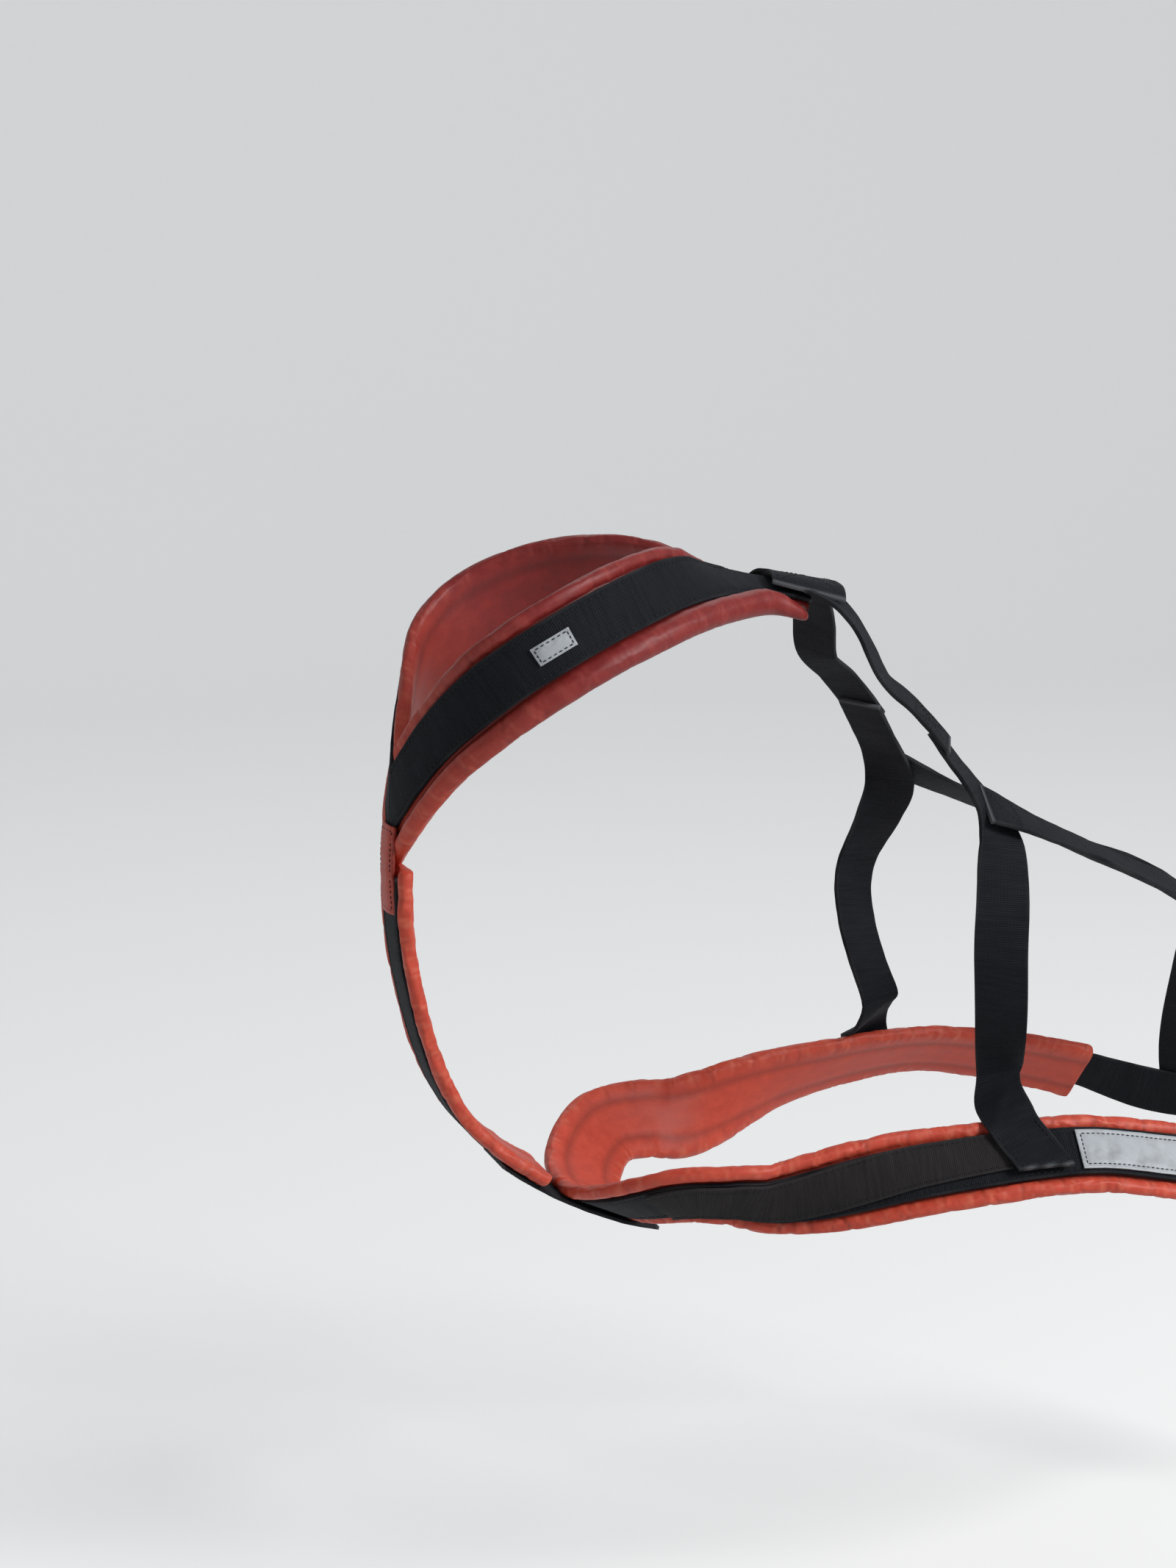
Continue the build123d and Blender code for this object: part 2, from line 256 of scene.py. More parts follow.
TIP = [
    Stop(-62, 180, on_tip + tip_rise),
    Stop(-50, 180, on_tip + tip_rise),
    Stop(-38, 180, on_tip + tip_rise / 2),
    Stop(-26, 180, on_tip),
]
BRISKET = [
    Stop(78, 180, on_patch),
    Stop(97, 180, on_patch),
    Stop(116, 180, on_patch),
    Stop(135, 180, on_patch),
]
WITHERS = [
    Stop(-16, 14, on_withers),
    Stop(-16, 7, on_withers),
    Stop(-16, 0, on_withers),
    Stop(-16, -7, on_withers),
    Stop(-16, -14, on_withers),
]
TAIL = [Stop(452, 0), Stop(480, 0), Stop(508, 0)]
crossing = 5
crossing_lift = layer + 0.8
crossing_reach = 1.6
tail_lift = layer + 0.4
tail_reach = 2
print("the right rear strap rises", round(crossing_lift, 1), "mm where it crosses the left one")

# %% [markdown]
# A smooth curve runs through the sections, and gives the coat at any station and angle. The
# same curve runs through the stops of a band. Blender could do it with a Curve modifier, but
# that twists a band by its own rule, and a harness twists as the body under it does.

# %% The coat


def between(rows, place, column):
    """A column of a table at places between its rows, on a smooth curve through them."""
    values = np.array([getattr(row, column) for row in rows], float)
    first = 2 * values[0] - values[1]
    last = 2 * values[-1] - values[-2]
    values = np.concatenate(([first], values, [last]))
    row = np.clip(np.floor(place).astype(int), 0, len(rows) - 2)
    part = place - row
    before, start, end, after = (values[row + step] for step in range(4))
    leave = (end - before) / 2
    arrive = (after - start) / 2
    square, cube = part**2, part**3
    return (
        (2 * cube - 3 * square + 1) * start
        + (cube - 2 * square + part) * leave
        + (3 * square - 2 * cube) * end
        + (cube - square) * arrive
    )


def wearer_edge(place, edge):
    """Points on the middle of the back, or of the belly."""
    x, z = (between(WEARER, place, f"{edge}_{axis}") for axis in "xz")
    return np.stack([x, 0 * place, z], -1)


def coat(station, angle):
    """Points of the coat at stations along the back and angles round the body."""
    stations = np.array([section.station for section in WEARER], float)
    row = np.clip(np.searchsorted(stations, station, side="left") - 1, 0, len(WEARER) - 2)
    place = row + (station - stations[row]) / (stations[row + 1] - stations[row])
    ridge, belly = wearer_edge(place, "back"), wearer_edge(place, "belly")
    around = np.radians(angle)
    out = between(WEARER, place, "half_width") * np.sin(around) * (1 - narrow_top * np.cos(around))
    point = (ridge + belly) / 2 + (ridge - belly) * (np.cos(around) / 2)[:, None]
    point[:, 1] -= out
    return point


def unit(vectors):
    return vectors / np.linalg.norm(vectors, axis=-1, keepdims=True)


def outward(station, angle):
    """The directions straight off the coat there."""
    along = coat(station + coat_probe, angle) - coat(station - coat_probe, angle)
    around = coat(station, angle + coat_probe) - coat(station, angle - coat_probe)
    return unit(np.cross(around, along))


withers = coat(np.array([0.0]), np.array([0.0]))[0]
print("the withers lie at", withers.round(1), "mm")

# %% [markdown]
# From the stops come the frames of a band: at each length along it, where its middle is, which
# way is across it, and which way is off the coat. All layers of one band share the turn of the
# line under them, so that webbing stays square on its padding. Only the upright is free: it
# hangs off the coat between its ends, and runs on its own line.

# %% Routes on the coat
route_detail = 20
run_probe = 0.04
Route = namedtuple("Route", "place length origin across off run")


def spot_and_lift(stops, place, flat):
    """The station and angle at places between the stops, and the lift. A flat band has none."""
    station, angle = between(stops, place, "station"), between(stops, place, "angle")
    return (station, angle), 0 * place if flat else between(stops, place, "lift")


def middle(stops, place, rise, flat):
    """Points on a band's middle line."""
    spot, lift = spot_and_lift(stops, place, flat)
    return coat(*spot) + outward(*spot) * (lift + rise)[:, None]


def measured(place, origin, across, off, run):
    """A route with the length at each of its points."""
    steps = np.linalg.norm(np.diff(origin, axis=0), axis=1)
    return Route(place, np.concatenate(([0], np.cumsum(steps))), origin, across, off, run)


def route(stops, rise=None, flat=False, free=False):
    """The frames of a band, close together from its one end to the other."""
    place = np.linspace(0, len(stops) - 1, route_detail * (len(stops) - 1) + 1)
    over = np.zeros_like(place) if rise is None else rise(place)
    base = over if free else 0 * place
    ahead = middle(stops, place + run_probe, base, not free)
    run = unit(ahead - middle(stops, place - run_probe, base, not free))
    spot, lift = spot_and_lift(stops, place, flat)
    normal = outward(*spot)
    across = unit(np.cross(normal, run))
    off = np.cross(run, across)
    lean = np.radians(between(stops, place, "turn"))[:, None]
    cosine, sine = np.cos(lean), np.sin(lean)
    across, off = across * cosine + off * sine, off * cosine - across * sine
    leant = normal * cosine + np.cross(run, normal) * sine
    leant += run * (np.sum(run * normal, -1, keepdims=True) * (1 - cosine))
    return measured(place, coat(*spot) + leant * (lift + over)[:, None], across, off, run)


def length_at(way, stops, station):
    """The length along a route where it first reaches a station."""
    stations = between(stops, way.place, "station")
    rising = stops[-1].station > stops[0].station
    reached = (way.place >= 1) & (stations >= station if rising else stations <= station)
    return float(way.length[np.argmax(reached)])


def full(way):
    return float(way.length[-1])


print("a rear strap's route is", round(full(route(REAR))), "mm long")

# %% [markdown]
# Operators act on all that is selected, so every step first selects its own piece and nothing
# else. A finished mesh's points are read and written as one array, which is how a flat piece is
# later bent all at once.

# %% Modelling helpers


def alone(piece=None):
    """Select one piece and nothing else."""
    if bpy.context.object and bpy.context.object.mode != "OBJECT":
        bpy.ops.object.mode_set(mode="OBJECT")
    bpy.ops.object.select_all(action="DESELECT")
    if piece:
        piece.select_set(True)
        bpy.context.view_layer.objects.active = piece


@contextmanager
def editing(piece, action="SELECT"):
    """Edit mode for one piece, with all of it selected or nothing."""
    alone(piece)
    bpy.ops.object.mode_set(mode="EDIT")
    bpy.ops.mesh.select_all(action=action)
    yield
    bpy.ops.object.mode_set(mode="OBJECT")


def cut_off(piece, spot, outwards, close):
    """Cut off what a piece has beyond a plane, and close the cut or leave it open."""
    with editing(piece):
        bpy.ops.mesh.bisect(plane_co=spot, plane_no=outwards, use_fill=close, clear_outer=True)


def points(piece):
    spots = np.empty(len(piece.data.vertices) * 3)
    piece.data.vertices.foreach_get("co", spots)
    return spots.reshape(-1, 3)


def move_points(piece, spots):
    piece.data.vertices.foreach_set("co", spots.ravel())
    piece.data.update()


def apply(piece, kind, **settings):
    """Add one modifier and apply it."""
    alone(piece)
    modifier = piece.modifiers.new(kind.lower(), kind)
    for name, value in settings.items():
        setattr(modifier, name, value)
    bpy.ops.object.modifier_apply(modifier=modifier.name)


def smooth(piece, angle=40):
    alone(piece)
    bpy.ops.object.shade_smooth_by_angle(angle=radians(angle))


def note(piece, name, values):
    """Keep a number for each point of a piece, for its material to read."""
    layer_of_values = piece.data.attributes.new(name, "FLOAT", "POINT")
    layer_of_values.data.foreach_set("value", np.asarray(values, np.float32))


print("helpers ready")

# %% [markdown]
# Every piece of cloth starts as a grid, sized and placed in edit mode. Its flat shape is kept in
# a UV map in millimetres, so that ribs and grain follow the cloth however it is bent. Solidify
# then gives it its thickness and Bevel its soft edges.

# %% A flat strip


def keep_cloth(piece, flat):
    """Write where each point lies on the flat cloth into the piece's UV map, in millimetres."""
    mesh = piece.data
    while mesh.uv_layers:
        mesh.uv_layers.remove(mesh.uv_layers[0])
    cloth = mesh.uv_layers.new(name="cloth")
    corner = np.empty(len(mesh.loops), int)
    mesh.loops.foreach_get("vertex_index", corner)
    cloth.data.foreach_set("uv", flat[corner].ravel())


def strip(name, length, width, along, across):
    """A flat strip of cloth, in millimetres, that starts at the origin and runs along X."""
    alone()
    bpy.ops.mesh.primitive_grid_add(x_subdivisions=along, y_subdivisions=across, size=1)
    piece = bpy.context.object
    piece.name = name
    with editing(piece):
        bpy.ops.transform.resize(value=(length, width, 1))
        bpy.ops.transform.translate(value=(length / 2, 0, 0))
    keep_cloth(piece, points(piece)[:, :2])
    return piece


def thicken(piece, thick, rounding=0.35):
    """Give a flat strip its thickness, and round its edges."""
    apply(piece, "SOLIDIFY", thickness=thick, offset=0)
    apply(piece, "BEVEL", width=rounding, segments=2, limit_method="ANGLE", angle_limit=radians(50))


print("a strip is a grid with its own millimetres")

# %% [markdown]
# To be worn, a flat piece is read point by point: x is a length along a route, y a breadth across
# it, and z a height over it. The right side is the mirror image of the left, and there the faces
# are flipped, so that they still point outwards. The bands that meet at the withers or on the
# breast are cut at the middle, which a Bisect does, and which leaves room for the thread.

# %% Wearing a flat piece


def at_length(way, length, *columns):
    """What a route says at one length, or at many, such as its origin or the way across it."""
    return [
        np.stack([np.interp(length, way.length, values) for values in getattr(way, column).T], -1)
        for column in columns
    ]


def wear(piece, way, start=0.0, side="left"):
    """Lay a flat piece on a route, from a length of it on."""
    spots = points(piece)
    length = start + spots[:, 0]
    inside = np.clip(length, 0, way.length[-1])
    origin, across, off, run = at_length(way, inside, "origin", "across", "off", "run")
    worn = origin + run * (length - inside)[:, None]
    worn += across * spots[:, 1:2] + off * spots[:, 2:3]
    if side == "right":
        worn[:, 1] *= -1
        piece.data.flip_normals()
    move_points(piece, worn * mm)


def hand_over(piece, nodes=(), body="harness"):
    """Say what a finished piece stands for, and what it rides on."""
    if nodes:
        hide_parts(*nodes)
    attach(piece, body)


def trim_at_middle(piece, side):
    """Cut off what a left or a right piece has beyond the middle, and close the cut."""
    outwards = 1 if side == "left" else -1
    cut_off(piece, (0, -outwards * sewn_gap / 2 * mm, 0), (0, outwards, 0), True)


def put_on(piece, way, nodes, slot="webbing", start=0.0, side="left", trimmed=False, corner=40):
    """Wear a flat piece, trim it at the middle, smooth it, and hand it over."""
    wear(piece, way, start, side)
    if trimmed:
        trim_at_middle(piece, side)
    smooth(piece, corner)
    hand_over(piece, nodes)


# %% [markdown]
# Effects that more than one finish uses are shader node groups. They give only heights, shades
# and masks, and each material sets their pitch and strength. A few helpers place and link the
# nodes, so that a group reads like a short sum.

# %% Node helpers


def new_group(name, inputs, outputs):
    """An empty shader node group with named inputs and outputs."""
    group = bpy.data.node_groups.new(name, "ShaderNodeTree")
    for label, kind, value in inputs:
        socket = group.interface.new_socket(label, in_out="INPUT", socket_type=kind)
        if value is not None:
            socket.default_value = value
    for label, kind in outputs:
        group.interface.new_socket(label, in_out="OUTPUT", socket_type=kind)
    return group, group.nodes.new("NodeGroupInput"), group.nodes.new("NodeGroupOutput")


def maths(tree, operation, first, second=None):
    """One Math node, whose inputs are numbers or sockets."""
    node = tree.nodes.new("ShaderNodeMath")
    node.operation = operation
    for slot, value in enumerate((first, second)):
        if value is None:
            continue
        if isinstance(value, (int, float)):
            node.inputs[slot].default_value = value
        else:
            tree.links.new(value, node.inputs[slot])
    return node.outputs[0]


def times(tree, first, second):
    return maths(tree, "MULTIPLY", first, second)


def plus(tree, first, second):
    return maths(tree, "ADD", first, second)


def wave(tree, value):
    """Rounded ridges, one for each whole number of the value."""
    return maths(tree, "ABSOLUTE", maths(tree, "SINE", times(tree, value, pi)))


def stretched(tree, vector, scale, turn=0.0):
    """A vector whose pattern is drawn out by a scale, and turned."""
    node = tree.nodes.new("ShaderNodeMapping")
    node.inputs["Rotation"].default_value = (0, 0, turn)
    node.inputs["Scale"].default_value = (*scale, 1)
    tree.links.new(vector, node.inputs["Vector"])
    return node.outputs["Vector"]


def noise(tree, vector, scale, detail=3.0, rough=0.5):
    node = tree.nodes.new("ShaderNodeTexNoise")
    node.inputs["Scale"].default_value = scale
    node.inputs["Detail"].default_value = detail
    node.inputs["Roughness"].default_value = rough
    tree.links.new(vector, node.inputs["Vector"])
    return node.outputs["Fac"]


def spread(tree, value, low, high, out_low=0.0, out_high=1.0):
    """Map a stretch of values onto another, held at both ends."""
    node = tree.nodes.new("ShaderNodeMapRange")
    tree.links.new(value, node.inputs["Value"])
    node.inputs["From Min"].default_value = low
    node.inputs["From Max"].default_value = high
    node.inputs["To Min"].default_value = out_low
    node.inputs["To Max"].default_value = out_high
    return node.outputs["Result"]


def mix(tree, factor, first, second):
    """Mix two colours, each a tuple or a socket."""
    node = tree.nodes.new("ShaderNodeMix")
    node.data_type = "RGBA"
    tree.links.new(factor, node.inputs["Factor"])
    for socket, value in ((node.inputs[6], first), (node.inputs[7], second)):
        if isinstance(value, tuple):
            socket.default_value = (*value, 1)
        else:
            tree.links.new(value, socket)
    return node.outputs[2]


def as_seen(tree):
    """1 where the camera, a mirror or clear things look, and 0 for light that falls on things."""
    ray = tree.nodes.new("ShaderNodeLightPath").outputs
    mirrored = maths(tree, "MAXIMUM", ray["Is Glossy Ray"], ray["Is Transmission Ray"])
    return maths(tree, "MAXIMUM", ray["Is Camera Ray"], mirrored)


print("node helpers ready")

# %% [markdown]
# The stage is a plain pale floor that curves up into a backdrop. A plane is made, one edge is
# extruded upwards, and a wide Bevel rounds the corner, so that no line shows behind the piece.
# The paper is made paler only as the camera, a mirror or clear things see it, by a share of
# plain light, so that the backdrop is pale without more light on the harness.

# %% Floor and backdrop
floor_height = -0.5
floor_size = 9
corner_radius = 1.6
alone()
bpy.ops.mesh.primitive_plane_add(size=floor_size, location=(0, 0, floor_height))
floor = bpy.context.object
floor.name = "floor"
with editing(floor, "DESELECT"):
    bpy.ops.mesh.select_mode(type="EDGE")
for edge in floor.data.edges:
    edge.select = all(floor.data.vertices[corner].co.y > 1 for corner in edge.vertices)
bpy.ops.object.mode_set(mode="EDIT")
bpy.ops.mesh.extrude_region_move(TRANSFORM_OT_translate={"value": (0, 0, floor_size)})
bpy.ops.object.mode_set(mode="OBJECT")
apply(floor, "BEVEL", width=corner_radius, segments=24, limit_method="ANGLE")
alone(floor)
bpy.ops.object.shade_smooth()

paper_glow = 0.42
paper = bpy.data.materials.new("paper")
paper.use_nodes = True
paper_shader = paper.node_tree.nodes["Principled BSDF"]
paper_shader.inputs["Base Color"].default_value = (0.62, 0.62, 0.61, 1)
paper_shader.inputs["Roughness"].default_value = 0.9
paper_shader.inputs["Emission Color"].default_value = (0.97, 0.985, 1.0, 1)
glow = maths(paper.node_tree, "MULTIPLY", as_seen(paper.node_tree), paper_glow)
paper.node_tree.links.new(glow, paper_shader.inputs["Emission Strength"])
floor.data.materials.append(paper)
print("floor at", floor_height, "m")

# %% [markdown]
# The light is soft and plain: an even sky, a large key lamp from above on the tail's side, where
# the sun stood, a weak fill from the front, and a lamp from behind that draws the straps' edges.
# Together they are set so that a colour renders about as it is written.

# %% Sky and lamps
sky_strength = 0.31
sky = bpy.data.worlds.new("sky")
scene.world = sky
sky.use_nodes = True
sky.node_tree.nodes["Background"].inputs["Color"].default_value = (0.93, 0.96, 1.0, 1)
sky.node_tree.nodes["Background"].inputs["Strength"].default_value = sky_strength

Lamp = namedtuple("Lamp", "name turn height distance size power")
LAMPS = [
    Lamp("key", 40, 34, 2.2, 0.8, 37),
    Lamp("fill", -40, 14, 2.6, 1.8, 5),
    Lamp("rim", 165, 50, 2.4, 1.2, 6),
]
lamp_target = Vector((0.05, 0, -0.18))
for lamp in LAMPS:
    light = bpy.data.lights.new(lamp.name, "AREA")
    light.shape = "DISK"
    light.size = lamp.size
    light.energy = lamp.power
    holder = bpy.data.objects.new(lamp.name, light)
    scene.collection.objects.link(holder)
    way_out = direction(lamp.turn, lamp.height)
    holder.location = lamp_target + way_out * lamp.distance
    holder.rotation_euler = way_out.to_track_quat("Z", "Y").to_euler()
    print(lamp.name, "lamp at", [round(value, 2) for value in holder.location])

# %% [markdown]
# Webbing is woven of thick cross yarns, which stand up as ribs across the band, held down by
# fine warp yarns along it. A sine across the cloth's millimetres makes the ribs, a second one
# shifted by half a pitch on every other yarn breaks them up, and a slow noise lets them wander
# a little, since no weave is perfectly even. Streaks across the band darken some of the yarns.

# %% Ribbed weave


def ribbed_weave():
    group, given, result = new_group(
        "ribbed_weave",
        [
            ("Cloth", "NodeSocketVector", None),
            ("Rib pitch", "NodeSocketFloat", 1.0),
            ("Yarn pitch", "NodeSocketFloat", 0.7),
        ],
        [("Height", "NodeSocketFloat"), ("Shade", "NodeSocketFloat")],
    )
    cloth = given.outputs["Cloth"]
    parts = group.nodes.new("ShaderNodeSeparateXYZ")
    group.links.new(cloth, parts.inputs[0])
    along = plus(group, parts.outputs["X"], times(group, noise(group, cloth, 0.35), 0.8))
    row = maths(group, "DIVIDE", along, given.outputs["Rib pitch"])
    yarn = maths(group, "DIVIDE", parts.outputs["Y"], given.outputs["Yarn pitch"])
    odd = maths(group, "MODULO", maths(group, "FLOOR", plus(group, yarn, 100.0)), 2.0)
    rib = wave(group, plus(group, row, times(group, odd, 0.5)))
    woven = times(group, rib, maths(group, "POWER", wave(group, yarn), 0.5))
    height = plus(group, times(group, woven, 0.4), times(group, wave(group, row), 0.6))
    patchy = spread(group, noise(group, cloth, 0.06, 4.0), 0.3, 0.7, 0.7, 1.0)
    drawn_out = stretched(group, cloth, (0.55, 0.035))
    streaks = spread(group, noise(group, drawn_out, 1.0, 3.0, 0.6), 0.3, 0.7, 0.45, 1.0)
    group.links.new(height, result.inputs["Height"])
    group.links.new(times(group, height, times(group, patchy, streaks)), result.inputs["Shade"])
    return group


WEAVE = ribbed_weave()
print("group:", WEAVE.name)

# %% [markdown]
# The padding's cover is a coated cloth with the fine pebble of imitation leather. Voronoi cells
# give the pebbles, a fast noise the fine grain, and a slow one the soft mottling that light and
# wear have left on the red.

# %% Coated grain


def coated_grain():
    group, given, result = new_group(
        "coated_grain",
        [("Cloth", "NodeSocketVector", None), ("Grain", "NodeSocketFloat", 1.3)],
        [("Height", "NodeSocketFloat"), ("Shade", "NodeSocketFloat")],
    )
    cloth = given.outputs["Cloth"]
    cells = group.nodes.new("ShaderNodeTexVoronoi")
    cells.feature = "DISTANCE_TO_EDGE"
    group.links.new(cloth, cells.inputs["Vector"])
    group.links.new(given.outputs["Grain"], cells.inputs["Scale"])
    pebble = spread(group, cells.outputs["Distance"], 0.0, 0.35)
    fine = noise(group, cloth, 3.0, 4.0, 0.6)
    slow = noise(group, cloth, 0.12, 5.0, 0.6)
    height = plus(group, times(group, pebble, 0.6), times(group, fine, 0.4))
    group.links.new(height, result.inputs["Height"])
    mixed = plus(group, times(group, slow, 0.75), times(group, height, 0.25))
    group.links.new(mixed, result.inputs["Shade"])
    return group


GRAIN = coated_grain()
print("group:", GRAIN.name)

# %% [markdown]
# Cloth that is worn outdoors gathers dust and short pale hairs. A noise that is stretched along
# one direction gives the hairs, a plain one the specks, and only their brightest parts are kept.

# %% Lint


def lint():
    group, given, result = new_group(
        "lint",
        [("Cloth", "NodeSocketVector", None), ("Amount", "NodeSocketFloat", 0.5)],
        [("Mask", "NodeSocketFloat")],
    )
    cloth = given.outputs["Cloth"]
    drawn_out = stretched(group, cloth, (0.12, 1.6), 0.5)
    hairs = spread(group, noise(group, drawn_out, 1.0, 5.0, 0.7), 0.66, 0.8)
    specks = spread(group, noise(group, cloth, 1.1, 6.0, 0.75), 0.62, 0.8)
    mask = times(group, maths(group, "MAXIMUM", hairs, specks), given.outputs["Amount"])
    group.links.new(mask, result.inputs["Mask"])
    return group


LINT = lint()
print("group:", LINT.name)

# %% [markdown]
# Black webbing is never quite black. It is dark grey on the ribs and black between them, has a
# sheen from its fibres, and is paler where a cut end was sealed with heat. The cool tint of the
# sheen, and of the main webbing's greys, is a painted reflection of a blue sky. The sheen and
# gloss are the same all over, so they are set on the shader itself.

# %% Webbing finish


def cloth_vector(tree):
    node = tree.nodes.new("ShaderNodeUVMap")
    node.uv_map = "cloth"
    return node.outputs["UV"]


def placed(tree, group, **values):
    """Place a node group and set its own values."""
    node = tree.nodes.new("ShaderNodeGroup")
    node.node_tree = group
    for name, value in values.items():
        label = name.replace("_", " ").capitalize()
        if isinstance(value, (int, float)):
            node.inputs[label].default_value = value
        else:
            tree.links.new(value, node.inputs[label])
    return node


def bump(tree, height, distance, strength=1.0):
    node = tree.nodes.new("ShaderNodeBump")
    node.inputs["Distance"].default_value = distance
    node.inputs["Strength"].default_value = strength
    tree.links.new(height, node.inputs["Height"])
    return node.outputs["Normal"]


def noted(tree, name):
    """The number that each point of the piece keeps under a name."""
    node = tree.nodes.new("ShaderNodeAttribute")
    node.attribute_name = name
    return node.outputs["Fac"]


def where_noted(tree, name, share, under, colour):
    """Mix in a colour by a share of the number that the points keep under a name."""
    return mix(tree, times(tree, noted(tree, name), share), under, colour)


def new_finish(name):
    material = bpy.data.materials.new(name)
    material.use_nodes = True
    return material, material.node_tree


def dress(material, patterns, plain):
    """Link the patterns to the shader, and set there what is the same all over."""
    shader = material.node_tree.nodes["Principled BSDF"]
    for label, pattern in patterns.items():
        material.node_tree.links.new(pattern, shader.inputs[label])
    for label, value in plain.items():
        shader.inputs[label].default_value = value
    return material


def webbing_finish(name, dark, light, rib_pitch, relief, dustiness):
    material, tree = new_finish(name)
    cloth = cloth_vector(tree)
    weave = placed(tree, WEAVE, cloth=cloth, rib_pitch=rib_pitch, yarn_pitch=0.8).outputs
    hair = placed(tree, LINT, cloth=cloth, amount=dustiness).outputs["Mask"]
    shaded = mix(tree, weave["Shade"], dark, light)
    sealed = where_noted(tree, "sealed", 0.8, shaded, (0.13, 0.135, 0.145))
    worn = where_noted(tree, "wear_and_highlight", 0.5, sealed, (0.05, 0.05, 0.052))
    patterns = {
        "Base Color": mix(tree, hair, worn, (0.13, 0.12, 0.11)),
        "Roughness": spread(tree, weave["Shade"], 0, 1, 0.78, 0.56),
        "Normal": bump(tree, weave["Height"], relief, 0.9),
    }
    plain = {
        "Sheen Weight": 0.03,
        "Sheen Roughness": 0.4,
        # The cool sheen tint is a painted reflection of a blue sky
        "Sheen Tint": (0.62, 0.72, 0.9, 1),
        "Specular IOR Level": 0.12,
    }
    return dress(material, patterns, plain)


# The main webbing's greys have a cool cast, a painted reflection of a blue sky
sky_tinted_rib_black, sky_tinted_rib_grey = (0.0036, 0.0040, 0.0052), (0.0185, 0.0205, 0.0270)
# The finer webbing's greys are paler and warmer than the main webbing's: painted sunlight on a
# finer weave
painted_sunlit_fine_black, painted_sunlit_fine_grey = (0.0090, 0.0080, 0.0082), (0.0410, 0.0370, 0.0385)
webbing = webbing_finish("webbing", sky_tinted_rib_black, sky_tinted_rib_grey, 1.05, 0.00026, 0.2)
painted_sunlit_cover_webbing = webbing_finish("painted_sunlit_cover_webbing", painted_sunlit_fine_black, painted_sunlit_fine_grey, 0.9, 0.00014, 0.28)
print("finishes:", webbing.name, painted_sunlit_cover_webbing.name)

# %% [markdown]
# The red cover cloth is satin, with the grain of its coating. Painted shade darkens it in its
# seams and creases, and a painted highlight makes it a little paler on the ridges of its fine
# crinkle. The neck loop's cover is painted a deeper red, as in shade, on its half next to the
# withers, and turns towards the breast into the plain orange red of the side bands. How much of
# that painted shade each point has is noted on it.

# %% Padding finish


def padding_finish():
    material, tree = new_finish("padding")
    out_of_painted_shade = noted(tree, "out_of_painted_shade")
    cloth = cloth_vector(tree)
    grain = placed(tree, GRAIN, cloth=cloth, grain=1.3).outputs
    hair = placed(tree, LINT, cloth=cloth, amount=0.14).outputs["Mask"]
    mottle = spread(tree, grain["Shade"], 0.3, 0.7)
    # deep is the red under painted shade, orange the red in plain light
    deep = mix(tree, mottle, (0.175, 0.0125, 0.0115), (0.27, 0.024, 0.020))
    orange = mix(tree, mottle, (0.50, 0.050, 0.026), (0.66, 0.083, 0.044))
    toned = mix(tree, out_of_painted_shade, deep, orange)
    # A painted highlight pales the crinkle's ridges, less where the red is painted in shade
    wear_and_highlight = mix(tree, out_of_painted_shade, (0.36, 0.055, 0.043), (0.76, 0.21, 0.12))
    ridge = where_noted(tree, "wear_and_highlight", 0.4, toned, wear_and_highlight)
    # Painted shade darkens the creases and, darker still, the seams beside the webbing and under
    # the band
    crease_shaded = where_noted(tree, "crease_shade", 0.75, ridge, (0.17, 0.014, 0.010))
    sewn = where_noted(tree, "seam", 0.85, crease_shaded, (0.06, 0.008, 0.007))
    patterns = {
        "Base Color": mix(tree, hair, sewn, (0.60, 0.33, 0.24)),
        "Roughness": spread(tree, grain["Shade"], 0.2, 0.8, 0.40, 0.60),
        "Normal": bump(tree, grain["Height"], 0.00012, 0.5),
    }
    plain = {"Specular IOR Level": 0.36, "Coat Weight": 0.06, "Coat Roughness": 0.4}
    return dress(material, patterns, plain)


padding = padding_finish()
print("finish:", padding.name)

# %% [markdown]
# The labels are pale grey reflective cloth. Its glass beads give it a fine grain and a slightly
# metallic look, and handling leaves it smudged. The place for words is left bare.

# %% Label finish


def label_finish():
    material, tree = new_finish("label")
    cloth = cloth_vector(tree)
    grain = placed(tree, GRAIN, cloth=cloth, grain=2.6).outputs
    hair = placed(tree, LINT, cloth=cloth, amount=0.3).outputs["Mask"]
    toned = mix(tree, grain["Shade"], (0.30, 0.32, 0.345), (0.52, 0.55, 0.58))
    smudge = spread(tree, noise(tree, cloth, 0.09, 4.0, 0.6), 0.48, 0.72)
    soiled = mix(tree, times(tree, smudge, 0.55), toned, (0.20, 0.205, 0.215))
    patterns = {
        "Base Color": mix(tree, hair, soiled, (0.16, 0.155, 0.15)),
        "Roughness": spread(tree, grain["Shade"], 0.2, 0.8, 0.42, 0.6),
        "Normal": bump(tree, grain["Height"], 0.00008, 0.5),
    }
    return dress(material, patterns, {"Metallic": 0.12})


label_cloth = label_finish()
print("finish:", label_cloth.name)

# %% [markdown]
# Thread is twisted of fine strands, and the ring is plated steel, dulled by fine scuffs where
# the snap of the tow line rubs on it. Both patterns are solid ones on Object coordinates, since
# neither thread nor wire has a flat cloth to follow.

# %% Thread and steel finishes


def thread_finish(name, dark, light):
    material, tree = new_finish(name)
    strands = noise(tree, tree.nodes.new("ShaderNodeTexCoord").outputs["Object"], 2600.0, 2.0)
    patterns = {
        "Base Color": mix(tree, strands, dark, light),
        "Normal": bump(tree, strands, 0.0001, 0.6),
    }
    return dress(material, patterns, {"Roughness": 0.6, "Specular IOR Level": 0.2})


